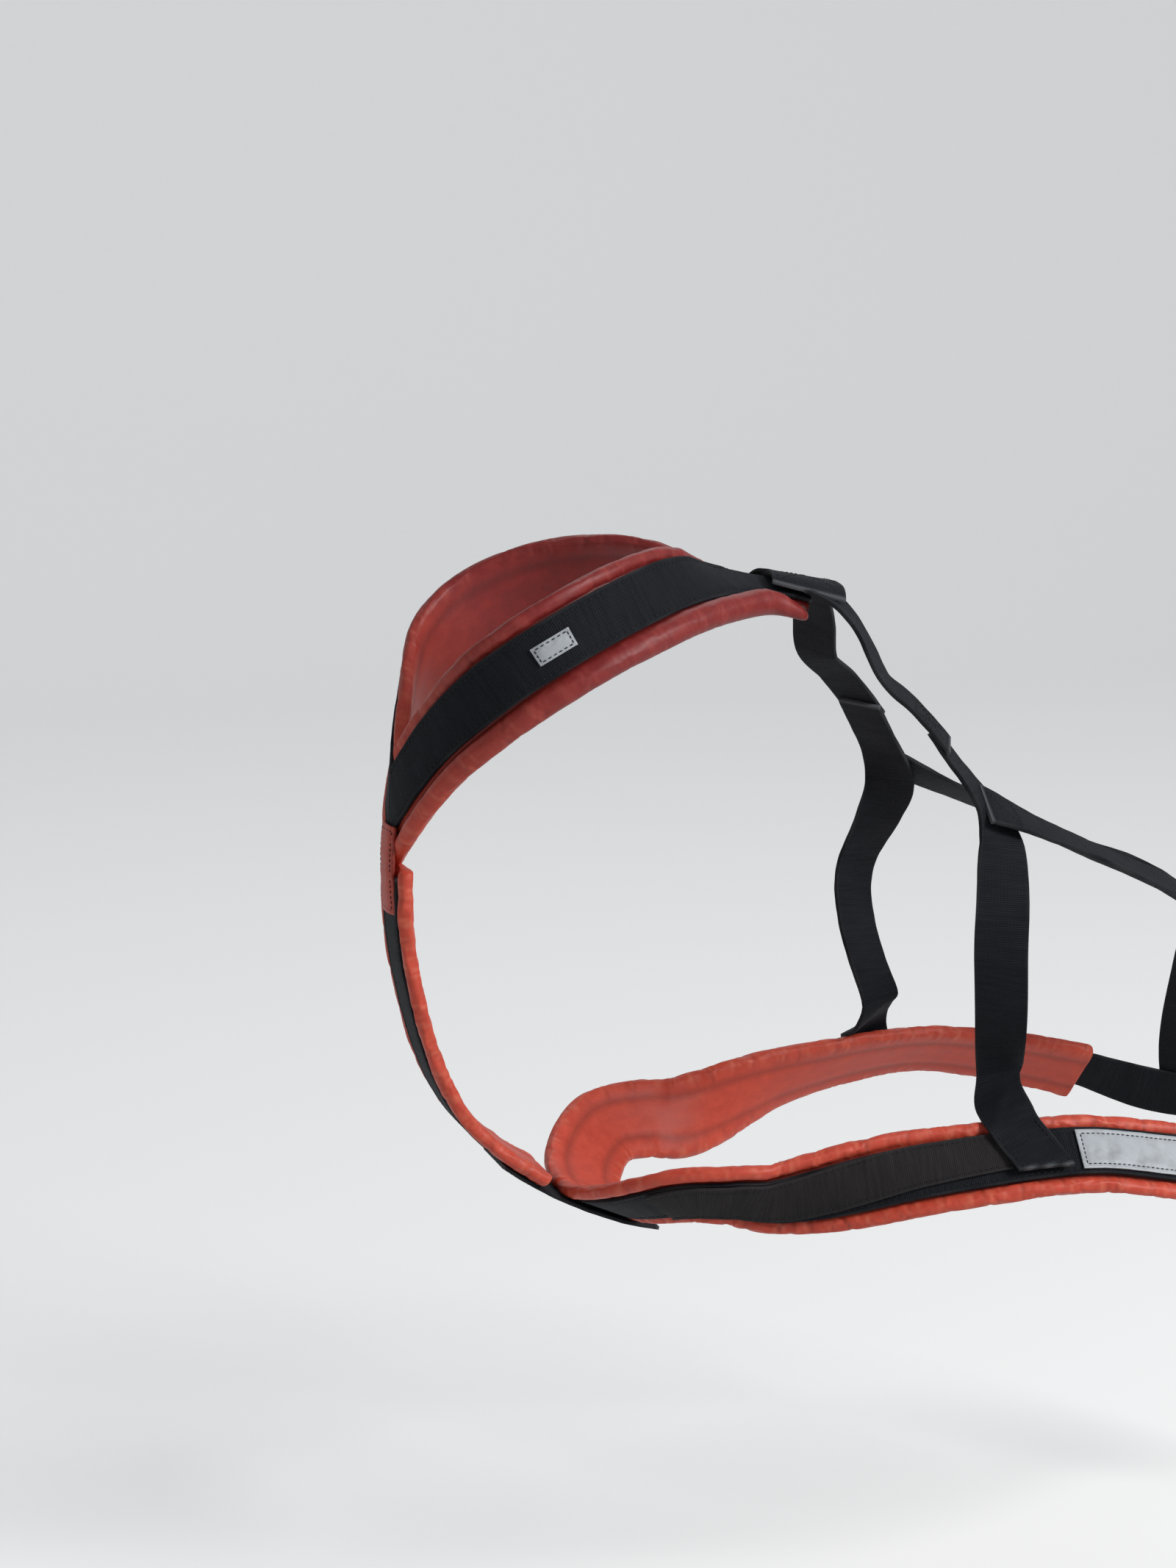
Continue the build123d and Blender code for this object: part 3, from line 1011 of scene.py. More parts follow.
def steel_finish():
    material, tree = new_finish("steel")
    place = tree.nodes.new("ShaderNodeTexCoord").outputs["Object"]
    scuffs = spread(tree, noise(tree, place, 900.0, 5.0, 0.65), 0.45, 0.75)
    patterns = {
        "Base Color": mix(tree, scuffs, (0.60, 0.60, 0.61), (0.42, 0.42, 0.42)),
        "Roughness": spread(tree, scuffs, 0, 1, 0.22, 0.42),
        "Normal": bump(tree, scuffs, 0.00004, 0.5),
    }
    return dress(material, patterns, {"Metallic": 1.0})


black_thread = thread_finish("black_thread", (0.004, 0.004, 0.005), (0.022, 0.023, 0.026))
steel = steel_finish()
print("finishes:", black_thread.name, steel.name)

# %% [markdown]
# Webbing is a flat strip with rounded edges. Its selvages stand up a little, the rows of
# stitches pull it down, and nothing that was sewn lies quite level, so the flat piece gets two
# shallow grooves and a slow ripple before it is worn. A cut end is sealed with heat, which
# leaves a thin pale bead, and the edges are rubbed, and both are noted for the finish. Where an
# end is sewn on another piece, it is pressed down onto it.

# %% Webbing
cell = 2.2
cells_across = 22
seam_inset = 2.4
seam_depth = 0.3
seam_reach = 0.9
selvage_rise = 0.14
selvage_inset = 0.7
selvage_reach = 0.6
sealed_reach = 0.8
rubbed_reach = 0.7


def ripple(spots, amount, seed, pitch=26.0):
    """A slow seeded unevenness along a flat piece."""
    shift = np.random.RandomState(seed).uniform(0, 2 * pi, 4)
    x, y = spots[:, 0], spots[:, 1]
    slow = np.sin(2 * pi * x / pitch + shift[0]) * np.sin(2 * pi * x / (pitch * 2.7) + shift[1])
    skew = np.sin(2 * pi * x / (pitch * 1.6) + shift[2]) * y / webbing_width
    return amount * (slow + skew + 0.4 * np.sin(2 * pi * x / (pitch * 0.37) + shift[3]))


def near(values, target, reach):
    """1 where the values are at a target, and falling to 0 away from it."""
    return np.exp(-(((values - target) / reach) ** 2))


def uneven(spots, amount, seed, width=webbing_width):
    """The heights of flat webbing: a ripple along it, and selvages that stand up."""
    selvages = near(np.abs(spots[:, 1]), width / 2 - selvage_inset, selvage_reach)
    return ripple(spots, amount, seed) + selvage_rise * selvages


def note_wear(piece, spots, end, width, patches):
    """Note the sealed ends of flat webbing, and its edges, rubbed in patches."""
    x = spots[:, 0]
    note(piece, "sealed", np.maximum(near(x, 0, sealed_reach), near(x, end, sealed_reach)))
    note(piece, "wear_and_highlight", near(np.abs(spots[:, 1]), width / 2, rubbed_reach) * patches)


def flat_webbing(name, length, width=webbing_width, thick=webbing_thick, seed=1, sewn=True):
    """A flat length of webbing, stitched near both its edges where it is sewn down."""
    piece = strip(name, length, width, max(4, round(length / cell)), cells_across)
    spots = points(piece)
    x, from_middle = spots[:, 0], np.abs(spots[:, 1])
    spots[:, 2] += uneven(spots, 0.10, seed, width)
    if sewn:
        spots[:, 2] -= seam_depth * near(from_middle, width / 2 - seam_inset, seam_reach)
    patches = 0.5 + 0.5 * np.sin(x * 0.21 + seed) * np.sin(x * 0.053 + 2 * seed)
    note_wear(piece, spots, length, width, patches)
    move_points(piece, spots)
    thicken(piece, thick)
    piece.data.materials.append(webbing)
    return piece


def press_end(piece, end, amount, reach):
    """Bend one end of a flat piece down, or up, onto the piece that it is sewn to."""
    spots = points(piece)
    spots[:, 2] -= amount * np.clip(1 - np.abs(spots[:, 0] - end) / reach, 0, 1) ** 1.5
    move_points(piece, spots)


def shift_flat(piece, across=0.0, height=0.0):
    spots = points(piece)
    spots[:, 1] += across
    spots[:, 2] += height
    move_points(piece, spots)


print("webbing cells of", cell, "mm")

# %% [markdown]
# A stitch is a small grain of thread, half sunk into the cloth. One is modelled, an Array
# modifier sets out a row at the machine's pitch, and the row is turned to its line. All rows of
# one band are joined and worn together, on the same route as the cloth that they hold.

# %% Stitches
stitch_pitch = 3.1
stitch_long = 2.3
stitch_thick = 0.62
close_pitch = 2.6
box_pitch = 2.5


def stitch_line(start, end, height, pitch=stitch_pitch):
    """A row of stitches between two spots of a flat piece."""
    alone()
    bpy.ops.mesh.primitive_uv_sphere_add(segments=6, ring_count=4, radius=0.5)
    row = bpy.context.object
    span = hypot(end[0] - start[0], end[1] - start[1])
    count = max(1, round(span / pitch))
    size = (stitch_long * pitch / stitch_pitch, stitch_thick, stitch_thick * 0.8)
    with editing(row):
        bpy.ops.transform.resize(value=size)
        bpy.ops.transform.translate(value=(span / count / 2, 0, 0))
    apply(
        row,
        "ARRAY",
        count=count,
        use_relative_offset=False,
        use_constant_offset=True,
        constant_offset_displace=(span / count, 0, 0),
    )
    row.location = (start[0], start[1], height)
    row.rotation_euler = (0, 0, atan2(end[1] - start[1], end[0] - start[0]))
    alone(row)
    bpy.ops.object.transform_apply(location=True, rotation=True, scale=True)
    return row


def sew(name, rows, way, start=0.0, side="left"):
    """Join rows of stitches, and wear them as one piece."""
    alone()
    for row in rows:
        row.select_set(True)
    bpy.context.view_layer.objects.active = rows[0]
    if len(rows) > 1:
        bpy.ops.object.join()
    seam = rows[0]
    seam.name = name
    seam.data.name = name
    wear(seam, way, start=start, side=side)
    alone(seam)
    bpy.ops.object.shade_smooth()
    seam.data.materials.append(black_thread)
    hand_over(seam)
    return seam


def edge_rows(first, last, across=0.0):
    """Rows near both edges of a band, from one length to another."""
    reach = webbing_width / 2 - seam_inset
    breadths = (across - reach, across + reach)
    return [stitch_line((first, y), (last, y), on_webbing) for y in breadths]


def box_rows(first, last, width, height, across=0.0, crossed=True):
    """A box of stitches, with a cross in it where a joint has to carry load."""
    low, high = across - width / 2, across + width / 2
    corners = [(first, low), (last, low), (last, high), (first, high)]
    lines = [(corners[n], corners[(n + 1) % 4]) for n in range(4)]
    if crossed:
        lines += [(corners[0], corners[2]), (corners[1], corners[3])]
    return [stitch_line(start, end, height, box_pitch) for start, end in lines]


stitch_rise = 0.05
on_webbing = webbing_thick / 2 - seam_depth + 0.12
on_strap = webbing_thick / 2 + stitch_rise
print("stitches every", stitch_pitch, "mm")

# %% [markdown]
# Most lengths of webbing are made alike: cut, sewn with their own rows, pressed down at their
# ends together with the stitches there, and worn. So one function makes them all, and each
# piece's cell only says its route, its rows of stitches and what is special about it.

# %% A sewn band of webbing
Press = namedtuple("Press", "end amount reach")


def webbing_band(
    name, way, nodes, rows, seed, side=None, presses=(), across=0.0, trimmed=False, **cut
):
    """Webbing and its rows of stitches, pressed down at the ends, worn and trimmed."""
    suffix = f"_{side}" if side else ""
    side = side or "left"
    band = flat_webbing(f"{name}_band{suffix}", full(way), seed=seed, **cut)
    for piece in (band, *rows):
        for press in presses:
            press_end(piece, *press)
    shift_flat(band, across)
    put_on(band, way, nodes, side=side, trimmed=trimmed)
    seam = sew(f"{name}_stitches{suffix}", rows, way, side=side)
    if trimmed:
        trim_at_middle(seam, side)


print("a sewn band is two pieces, the webbing and its stitches")

# %% [markdown]
# A padded band is a strip of red coated cloth, wrapped round foam, with black webbing sewn along
# its middle. The cloth bulges out as a round roll on both sides of the webbing, and dips into a
# seam between the two. The outline of the wrapped cloth is told once round, from under its
# middle, with most of its points on the rolls, because they are what is seen.

# %% Outline of a padded band
under_points = 5
roll_points = 22
top_points = 4
seam_dip = 1.0
seam_shoulder = 2.2


def stretch(start, end, count):
    """Points on a straight run, without its last."""
    share = np.arange(count)[:, None] / count
    return np.array(start) * (1 - share) + np.array(end) * share


def arc(centre_y, centre_z, radius, first, last, count):
    """Points on an arc, by angles in degrees from across."""
    angles = np.radians(np.linspace(first, last, count))
    return np.stack([centre_y + radius * np.cos(angles), centre_z + radius * np.sin(angles)], -1)


def band_outline(near_roll, near_at, far_roll, far_at, high=foam_rise + foam_thick + 0.1):
    """The closed outline of a padded band, from its rolls' sizes and places across it."""
    low = foam_rise - 0.5
    centre = (near_at + far_at) / 2
    near_arc = arc(near_at, near_roll, near_roll, -80, 158, roll_points)
    far_arc = arc(far_at, far_roll, far_roll, 22, 260, roll_points)
    near_dip = (near_at - near_roll - 0.5, min(high, 2 * near_roll) - seam_dip)
    far_dip = (far_at + far_roll + 0.5, min(high, 2 * far_roll) - seam_dip)
    near_edge = (near_dip[0] - seam_shoulder + 0.5, high)
    far_edge = (far_dip[0] + seam_shoulder - 0.5, high)
    return np.concatenate(
        [
            stretch((centre, low), near_arc[0], under_points),
            near_arc,
            [near_dip, near_edge],
            stretch(near_edge, (centre, high), top_points)[1:],
            stretch((centre, high), far_edge, top_points),
            [far_edge, far_dip],
            far_arc,
            stretch(far_arc[-1], (centre, low), under_points)[1:],
            [(centre, low)],
        ]
    )


side_set = webbing_width / 2 + edge_set
sample = band_outline(edge_roll, side_set, edge_roll, -side_set)
around_cells = len(sample) - 1
print("cells round:", around_cells, "and mm to the edge:", sample[:, 0].max().round(1))

# %% [markdown]
# The thread holds the cloth shorter than the roll wants to be, so creases run out from the seams
# over the rolls, short and long, some slanting. They are drawn as narrow valleys at seeded
# places. Between them the cloth swells a little, and a fine crinkle runs across the roll.

# %% Creases
crease_run = 15
roll_run = 22
back_run = 12


def crease_depths(length, out, seed, spacing, depth, reach):
    """How deep the creases are at lengths of the band and distances out from a seam."""
    chance = np.random.RandomState(seed)
    total = np.zeros_like(length)
    longest = float(length.max())
    at = chance.uniform(0, spacing)
    while at < longest:
        width = chance.uniform(0.55, 1.25)
        deep = depth * chance.uniform(0.2, 1.0) ** 1.3
        slant = chance.uniform(-0.4, 0.4)
        far = reach * chance.uniform(0.45, 1.25)
        valley = near(length - slant * out, at, width) * np.clip(1 - out / far, 0, 1) ** 0.7
        total = np.maximum(total, np.where(out >= 0, deep * valley, 0))
        at += spacing * chance.uniform(0.35, 1.7)
    return total


def crinkle(length, around, seed):
    """A fine unevenness that runs across a roll."""
    chance = np.random.RandomState(seed)
    total = np.zeros_like(length)
    for pitch in (3.1, 4.7, 7.9, 12.5):
        slant = chance.uniform(-0.5, 0.5)
        shift, slow = chance.uniform(0, 2 * pi), chance.uniform(0, 2 * pi)
        swell = 0.5 + 0.5 * np.sin(2 * pi * length / (pitch * 6.3) + slow)
        total += swell * np.sin(2 * pi * (length + slant * around) / pitch + shift) / 4
    return total


def folds_of(lengths, outs, seed, spacing, depth):
    """Creases out from the two seams, and fewer from the body's side back to them."""
    folds = 0
    for number, out in enumerate(outs):
        folds = folds + crease_depths(lengths, out, seed + number, spacing, depth, crease_run)
    for number, out in enumerate(outs, 2):
        back = (roll_run - out, seed + number, 2 * spacing, 0.7 * depth, back_run)
        folds = folds + crease_depths(lengths, *back) * (out > 0)
    return folds


print("creases are drawn from seeds, so that every run gives the same ones")

# %% [markdown]
# The cover starts as a flat grid. Each row of its points is laid round the outline at its
# length, the long edges are merged where they meet underneath, and the ends are closed, as the
# maker folds them in. The rolls shrink towards the ends, where the cloth is pulled together, and
# on the body's side two rows of stitches pull a groove into it.

# %% The flat cover
cover_cell = 1.5
fine_depth = 0.12
end_reach = 4.5
# The share of a cover's length over which its painted shade gives way to plain red
painted_shade_ramp = 0.45


def closing(x, length, least=0.6, reach=end_reach):
    """How full a roll is near the ends of its band."""
    from_end = np.clip(min(x, length - x) / reach, 0, 1)
    return least + (1 - least) * (1 - (1 - from_end) ** 2) ** 0.5


def padded_cover(name, length, outline_at, seed, spacing, depth, painted_shade_lifts_from=0.0):
    """A cover cloth wrapped round its foam, still straight, with its creases."""
    along = round(length / cover_cell)
    piece = strip(name, length, 1.0, along, around_cells)
    spots = points(piece)
    column = np.round(spots[:, 0] / length * along).astype(int)
    row = np.round((spots[:, 1] + 0.5) * around_cells).astype(int)
    outlines = np.stack([outline_at(length * number / along) for number in range(along + 1)])
    ring = outlines[:, :-1]
    tangent = unit(np.roll(ring, -1, axis=1) - np.roll(ring, 1, axis=1))
    out_of = np.stack([tangent[..., 1], -tangent[..., 0]], -1)
    out_of = np.concatenate([out_of, out_of[:, :1]], axis=1)
    around = np.linalg.norm(np.diff(outlines, axis=1), axis=2)
    around = np.concatenate([np.zeros((along + 1, 1)), np.cumsum(around, axis=1)], axis=1)

    first_dip, last_dip = under_points + roll_points, around_cells - under_points - roll_points
    lengths = np.repeat(np.linspace(0, length, along + 1)[:, None], around_cells + 1, axis=1)
    near_out = around[:, first_dip][:, None] - around
    far_out = around - around[:, last_dip][:, None]
    folds = folds_of(lengths, (near_out, far_out), seed, spacing, depth)
    number = np.arange(around_cells + 1)
    near_arc = (number >= under_points) & (number < first_dip)
    far_arc = (number > last_dip) & (number <= around_cells - under_points)
    arcs = near_arc | far_arc
    on_roll = np.maximum(near_out, far_out) * arcs[None] > 0
    fine = crinkle(lengths, around, seed + 4) * on_roll

    rows = outlines[:, first_dip, 0] - seam_inset, outlines[:, last_dip, 0] + seam_inset
    from_row = np.minimum(*[np.abs(outlines[..., 0] - line[:, None]) for line in rows])
    under = (outlines[..., 1] < foam_rise) & ~arcs[None]
    gathers = 0.2 * near(from_row, 0, 4.0) * crinkle(lengths, 0 * around, seed + 5)
    quilted = under * (0.7 * near(from_row, 0, 1.1) + gathers)
    height = fine_depth * fine - folds * arcs[None] - quilted
    wrapped = outlines + out_of * height[..., None]
    keep_cloth(piece, np.stack([spots[:, 0], around[column, row] - around[column, -1] / 2], -1))

    # The seams and the stitch grooves underneath are noted for painted shade, and so are the
    # creases
    seam = np.maximum(near(near_out, 0, 1.3), near(far_out, 0, 1.3))
    seam += 0.5 * under * near(from_row, 0, 0.7)
    # This is 1 where the red is plain. Where a cover is painted in shade, it is 0 up to a share of
    # the cover's length, and rises to 1 after that.
    out_of_painted_shade = 1.0
    if painted_shade_lifts_from:
        out_of_painted_shade = np.clip((spots[:, 0] / length - painted_shade_lifts_from) / painted_shade_ramp, 0, 1)
    note(piece, "seam", seam[column, row])
    note(piece, "crease_shade", np.clip(folds / max(depth, 0.1), 0, 1)[column, row])
    # The crinkle's ridges are noted for a painted highlight
    note(piece, "wear_and_highlight", (np.clip(fine * 2.2, 0, 1) * on_roll)[column, row])
    note(piece, "out_of_painted_shade", out_of_painted_shade * np.ones(len(spots)))
    note(piece, "free", on_roll[column, row])
    move_points(piece, np.stack([spots[:, 0], *wrapped[column, row].T], -1))
    with editing(piece):
        bpy.ops.mesh.remove_doubles(threshold=0.01)
        bpy.ops.mesh.select_all(action="DESELECT")
        bpy.ops.mesh.select_non_manifold()
        bpy.ops.mesh.edge_face_add()
        bpy.ops.mesh.select_all(action="SELECT")
        bpy.ops.mesh.normals_make_consistent(inside=False)
    piece.data.materials.append(padding)
    return piece


print("covers are cut in cells of", cover_cell, "mm")

# %% [markdown]
# Now the rolls are filled. Cloth simulation swells the cover as the foam does: the part under
# the webbing and next to the body is pinned, the cloth of the rolls is cut a few percent longer
# than its place, and pressure pushes it out, so it buckles between the stitches. Gravity is off,
# because foam carries the cloth. How far a point may go is capped, and one subdivision rounds
# the result.

# %% Filling a cover
fill_steps = 16
FILLING = {
    "quality": 5,
    "mass": 0.05,
    "tension_stiffness": 10,
    "compression_stiffness": 10,
    "shear_stiffness": 3,
    "bending_stiffness": 0.01,
    "vertex_group_mass": "sewn",
    "use_pressure": True,
    "uniform_pressure_force": 3.0,
}


def fill_out(piece, slack, cap):
    """Simulate the cover under pressure, and keep each point within the cap."""
    start = points(piece)
    free = np.zeros(len(start), np.float32)
    piece.data.attributes["free"].data.foreach_get("value", free)
    pinned = piece.vertex_groups.new(name="sewn")
    pinned.add([int(number) for number in np.flatnonzero(free < 0.5)], 1.0, "REPLACE")
    move_points(piece, start * mm)
    alone(piece)
    cloth = piece.modifiers.new("cloth", "CLOTH")
    for setting, value in FILLING.items():
        setattr(cloth.settings, setting, value)
    cloth.settings.effector_weights.gravity = 0
    cloth.settings.shrink_min = -slack
    cloth.point_cache.frame_start = 1
    cloth.point_cache.frame_end = fill_steps
    for step in range(1, fill_steps + 1):
        scene.frame_set(step)
    bpy.ops.object.modifier_apply(modifier="cloth")
    scene.frame_set(1)
    moved = points(piece) / mm - start
    far = np.linalg.norm(moved, axis=1, keepdims=True)
    moved *= cap / np.maximum(far, cap)
    move_points(piece, start + moved)
    piece.vertex_groups.clear()
    print(piece.name, "swelled by up to", far.max().round(2), "mm")


def copied(piece, name):
    """A copy with its own mesh."""
    alone(piece)
    bpy.ops.object.duplicate()
    twin = bpy.context.object
    twin.name = name
    return twin


def finish_cover(piece, way, nodes, fill, **wearing):
    piece.data.attributes.remove(piece.data.attributes["free"])
    apply(piece, "SUBSURF", levels=1, render_levels=1)
    put_on(piece, way, nodes, "padding", corner=70, **wearing)


def cover_both_sides(cover, way, node, fill, trimmed=False):
    """Copy a left cover for the right side, and finish the two."""
    twin = copied(cover, cover.name.replace("left", "right"))
    for side, piece in zip(SIDES, (cover, twin)):
        finish_cover(piece, way, [f"{node}_{side}"], fill, side=side, trimmed=trimmed)


print("covers are filled in", fill_steps, "steps")

# %% [markdown]
# The neck loop is two bands that meet at the withers and in a V on the breast. On the shoulder's
# side of its webbing it has a fat roll, which takes the load of the pull, and on the neck's side
# a slim one. The fat roll thins out towards the breast, and its upper end is drawn to a tip. The
# cloth is nearly smooth there, so it gets few and short creases.

# %% The neck loop's padding
neck_way = route(NECK)
neck_flat = route(NECK, flat=True)
neck_length = full(neck_flat)
tip_tuck = 3.0
point_reach = 17.0
point_size = 0.22


def neck_outline(x):
    place = np.interp(x, neck_flat.length, neck_flat.place)
    tip = min(1.0, neck_tip_size + (1 - neck_tip_size) * place)
    thin = 1 - neck_thinning * (place / (len(NECK) - 1)) ** 2
    closed = closing(x, neck_length)
    fullness = min(closed, closing(min(x, point_reach), neck_length, point_size, point_reach))
    outer = neck_roll * tip * thin * fullness
    tucked = -tip_tuck * (1 - fullness)
    high = foam_rise + foam_thick + neck_slack
    return band_outline(outer, tucked, edge_roll * closed, neck_inner, high)


creases = {"seed": 11, "spacing": 19.0, "depth": 0.4}
# The neck loop's cover is painted in shade on its half next to the withers.
cover = padded_cover("neck_cover_left", neck_length, neck_outline, **creases, painted_shade_lifts_from=0.5)
fill_out(cover, slack=0.012, cap=0.35)
cover_both_sides(cover, neck_flat, "neck_pad", fill=0.9, trimmed=True)
print("neck cover:", len(cover.data.polygons), "faces,", round(neck_length), "mm long")

# %% [markdown]
# The webbing of the neck loop lies on the padding and is sewn down along both its edges. It is
# made flat, moved to its place beside the fat roll, and worn on the neck loop's route.

# %% The neck loop's webbing
for number, side in enumerate(SIDES):
    rows = edge_rows(6, full(neck_way) - 6, neck_middle)
    place = {"side": side, "across": neck_middle, "trimmed": True}
    webbing_band("neck", neck_way, [f"neck_webbing_{side}"], rows, seed=3 + number, **place)
print("neck webbing:", round(full(neck_way)), "mm long")

# %% [markdown]
# A side band runs from under the brisket along the flank. It is padded as far as the loin, with
# two slim rolls whose cloth is full of small creases, and from there its webbing goes on bare to
# the tail.

# %% The side bands' padding
side_flat = route(SIDE, flat=True)
side_pad_length = length_at(side_flat, SIDE, side_pad_end)


def side_outline(x):
    roll = edge_roll * closing(x, side_pad_length)
    return band_outline(roll, side_set, roll, -side_set)


creases = {"seed": 51, "spacing": 7.0, "depth": 0.5}
cover = padded_cover("side_cover_cloth_left", side_pad_length, side_outline, **creases)
fill_out(cover, slack=0.03, cap=0.45)
cover_both_sides(cover, side_flat, "side_pad", fill=0.8)
print("side cover:", len(cover.data.polygons), "faces,", round(side_pad_length), "mm long")

# %% [markdown]
# The side band's webbing lies over the padding, and at the tail the right one rises by a layer
# to lie on the left one. Its stitches end with the padding, because behind it there is nothing
# to sew down.

# %% The side bands' webbing


def over_the_left(place):
    return tail_lift * np.clip(place - (len(SIDE) - 1) + tail_reach, 0, 1)


side_ways = {"left": route(SIDE), "right": route(SIDE, rise=over_the_left)}
for number, side in enumerate(SIDES):
    way = side_ways[side]
    rows = edge_rows(4, length_at(way, SIDE, side_pad_end) - 3)
    rows += box_rows(full(way) - 32, full(way) - 4, 17, on_strap)
    webbing_band("side", way, [f"side_webbing_{side}"], rows, seed=5 + number, side=side)
print("side webbing:", round(full(side_ways["left"])), "mm long")

# %% [markdown]
# In front of the upright a second, finer layer is sewn on the side band. It is as wide as the
# webbing at its front end, and narrows until a ribbed strip of the webbing shows below it. The
# flat strip is drawn in along its lower edge before it gets its thickness.

# %% The side bands' second layer
left_way = side_ways["left"]
top_start = length_at(left_way, SIDE, cover_start)
top_length = length_at(left_way, SIDE, cover_end) - top_start
top_height = (webbing_thick + cover_thick) / 2 + sewn_gap
top_high = webbing_width / 2 - 0.2
on_top = top_height + cover_thick / 2 - seam_depth + 0.1
full_until = 22.0
low_inset = 0.6
top_seam = 1.9


def top_low_edge(x):
    """The breadth at which the second layer ends below, along its length."""
    share = np.clip((x - full_until) / (top_length - full_until), 0, 1)
    return -webbing_width / 2 + low_inset + (webbing_width - cover_width - low_inset) * share**0.9


for number, side in enumerate(SIDES):
    top = strip(f"side_top_layer_{side}", top_length, 1.0, round(top_length / cell), cells_across)
    spots = points(top)
    low = top_low_edge(spots[:, 0])
    spots[:, 1] = low + (top_high - low) * (spots[:, 1] + 0.5)
    keep_cloth(top, spots[:, :2])
    from_edge = np.minimum(top_high - spots[:, 1], spots[:, 1] - low)
    spots[:, 2] = ripple(spots, 0.10, 7 + number) - seam_depth * near(from_edge, top_seam, 0.7)
    spots[:, 2] += selvage_rise * near(from_edge, 0.6, 0.5)
    note(top, "sealed", np.zeros(len(spots)))
    note(top, "wear_and_highlight", near(from_edge, 0, 0.6) * 0.6)
    move_points(top, spots)
    thicken(top, cover_thick)
    # The second layer's finish is painted as in sunlight
    top.data.materials.append(painted_sunlit_cover_webbing)
    shift_flat(top, height=top_height)
    put_on(top, left_way, [f"side_cover_{side}"], start=top_start, side=side)
    first, last = 2.0, top_length - 6
    above = [(x, top_high - top_seam) for x in (first, last)]
    below = [(x, top_low_edge(x) + top_seam) for x in (first, last)]
    lines = [above, below, (above[0], below[0])]
    rows = [stitch_line(start, end, on_top, close_pitch) for start, end in lines]
    sew(f"side_top_stitches_{side}", rows, left_way, start=top_start, side=side)
print("second layer:", round(top_length), "mm long,", cover_width, "mm wide at its rear end")

# %% [markdown]
# From the withers a strap goes down each side of the back, a little turned, so that from the
# side it shows nearly its edge. It ends on the upright with a cut end, sealed pale, and four rows
# of stitches hold the joint.

# %% The shoulder straps
shoulder_way = route(SHOULDER)
joint_length = 22.0
joint_end = full(shoulder_way) - 3
shoulder_presses = [Press(full(shoulder_way), 1.3, 18)]
for number, side in enumerate(SIDES):
    nodes = [f"shoulder_strap_{side}"]
    rows = box_rows(joint_end - joint_length, joint_end, 18, on_strap)
    make = {"side": side, "presses": shoulder_presses, "trimmed": True, "sewn": False}
    webbing_band("shoulder", shoulder_way, nodes, rows, seed=9 + number, **make)
print("shoulder strap:", round(full(shoulder_way)), "mm long")

# %% [markdown]
# The upright comes out from under the shoulder strap's end and hangs down the side, free of the
# coat, to the side band, where its foot is laid on slanting and trimmed along the band's lower
# edge. The trim is a bisect of the flat strip, on the line where the worn strap meets the plane
# through that edge. Above the band the strap is kinked by the slant, which is a shallow fold
# across it, with two puckers below it.

# %% The uprights
upright_way = route(UPRIGHT, free=True)
kink_from_foot = 52.0
kink_depth = 0.9
kink_reach = 6.0
curl = 3.3
curl_reach = 60.0
curl_end = 5
Pucker = namedtuple("Pucker", "height slant below width breadth reach")
PUCKERS = [Pucker(0.8, 0.9, 13, 3.4, -5, 9), Pucker(-0.6, -0.6, 24, 3.0, 4, 8)]
upright_press = 2.4
upright_press_reach = 28
foot_seam = 2.6
front_row, rear_row = 34, 24
foot_length = length_at(left_way, SIDE, upright_foot)
foot_origin, foot_across = at_length(left_way, foot_length, "origin", "across")
foot_spot = foot_origin - foot_across * (webbing_width / 2 - foot_inset)


def trimmed_at(breadth):
    """The length at which a line along the upright meets the plane through the band's edge."""
    over_foot = (upright_way.origin + upright_way.across * breadth - foot_spot) @ foot_across
    last = np.flatnonzero(over_foot > 0)[-1]
    following = min(last + 1, len(over_foot) - 1)
    share = min(1.0, over_foot[last] / (over_foot[last] - over_foot[following] + 1e-9))
    length = upright_way.length
    return length[last] + share * (length[following] - length[last])


trims = [trimmed_at(breadth) for breadth in (-webbing_width / 2, webbing_width / 2)]
print("foot trimmed at mm", [round(trim, 1) for trim in trims], "of", round(full(upright_way), 1))

# %% [markdown]
# The strap is a grid with its fold drawn in, and its rear edge curls back the more, the nearer it
# comes to the fold. Its upper end is pressed up against the shoulder strap, as the joint's
# stitches do. Bisect takes off what lies beyond the trim, and Solidify and Bevel then round that
# edge like the others.

# %% The uprights' webbing
foot_middle = sum(trims) / 2
foot_slant = (trims[1] - trims[0]) / webbing_width
kink_at = foot_middle - kink_from_foot
upright_cells = round(full(upright_way) / cell)


def kink(spots):
    """Draw in the fold, the curl of the rear edge towards it, and the puckers below it."""
    x, y = spots[:, 0], spots[:, 1]
    spots[:, 2] -= kink_depth * near(x + 0.5 * y, kink_at, kink_reach) * (0.55 - y / webbing_width)
    growing = np.clip((x - kink_at + curl_reach) / (curl_reach - curl_end), 0, 1) ** 2
    curled = growing * np.clip((kink_at + curl_end - x) / (2 * curl_end), 0, 1)
    edge_share = np.clip(y / (webbing_width / 2), 0, 1) ** 2
    spots[:, 1] -= curl * curled * edge_share
    spots[:, 2] -= 0.7 * curl * curled * edge_share
    for pucker in PUCKERS:
        line = near(x + pucker.slant * y, kink_at + pucker.below, pucker.width)
        spots[:, 2] += pucker.height * line * near(y, pucker.breadth, pucker.reach)


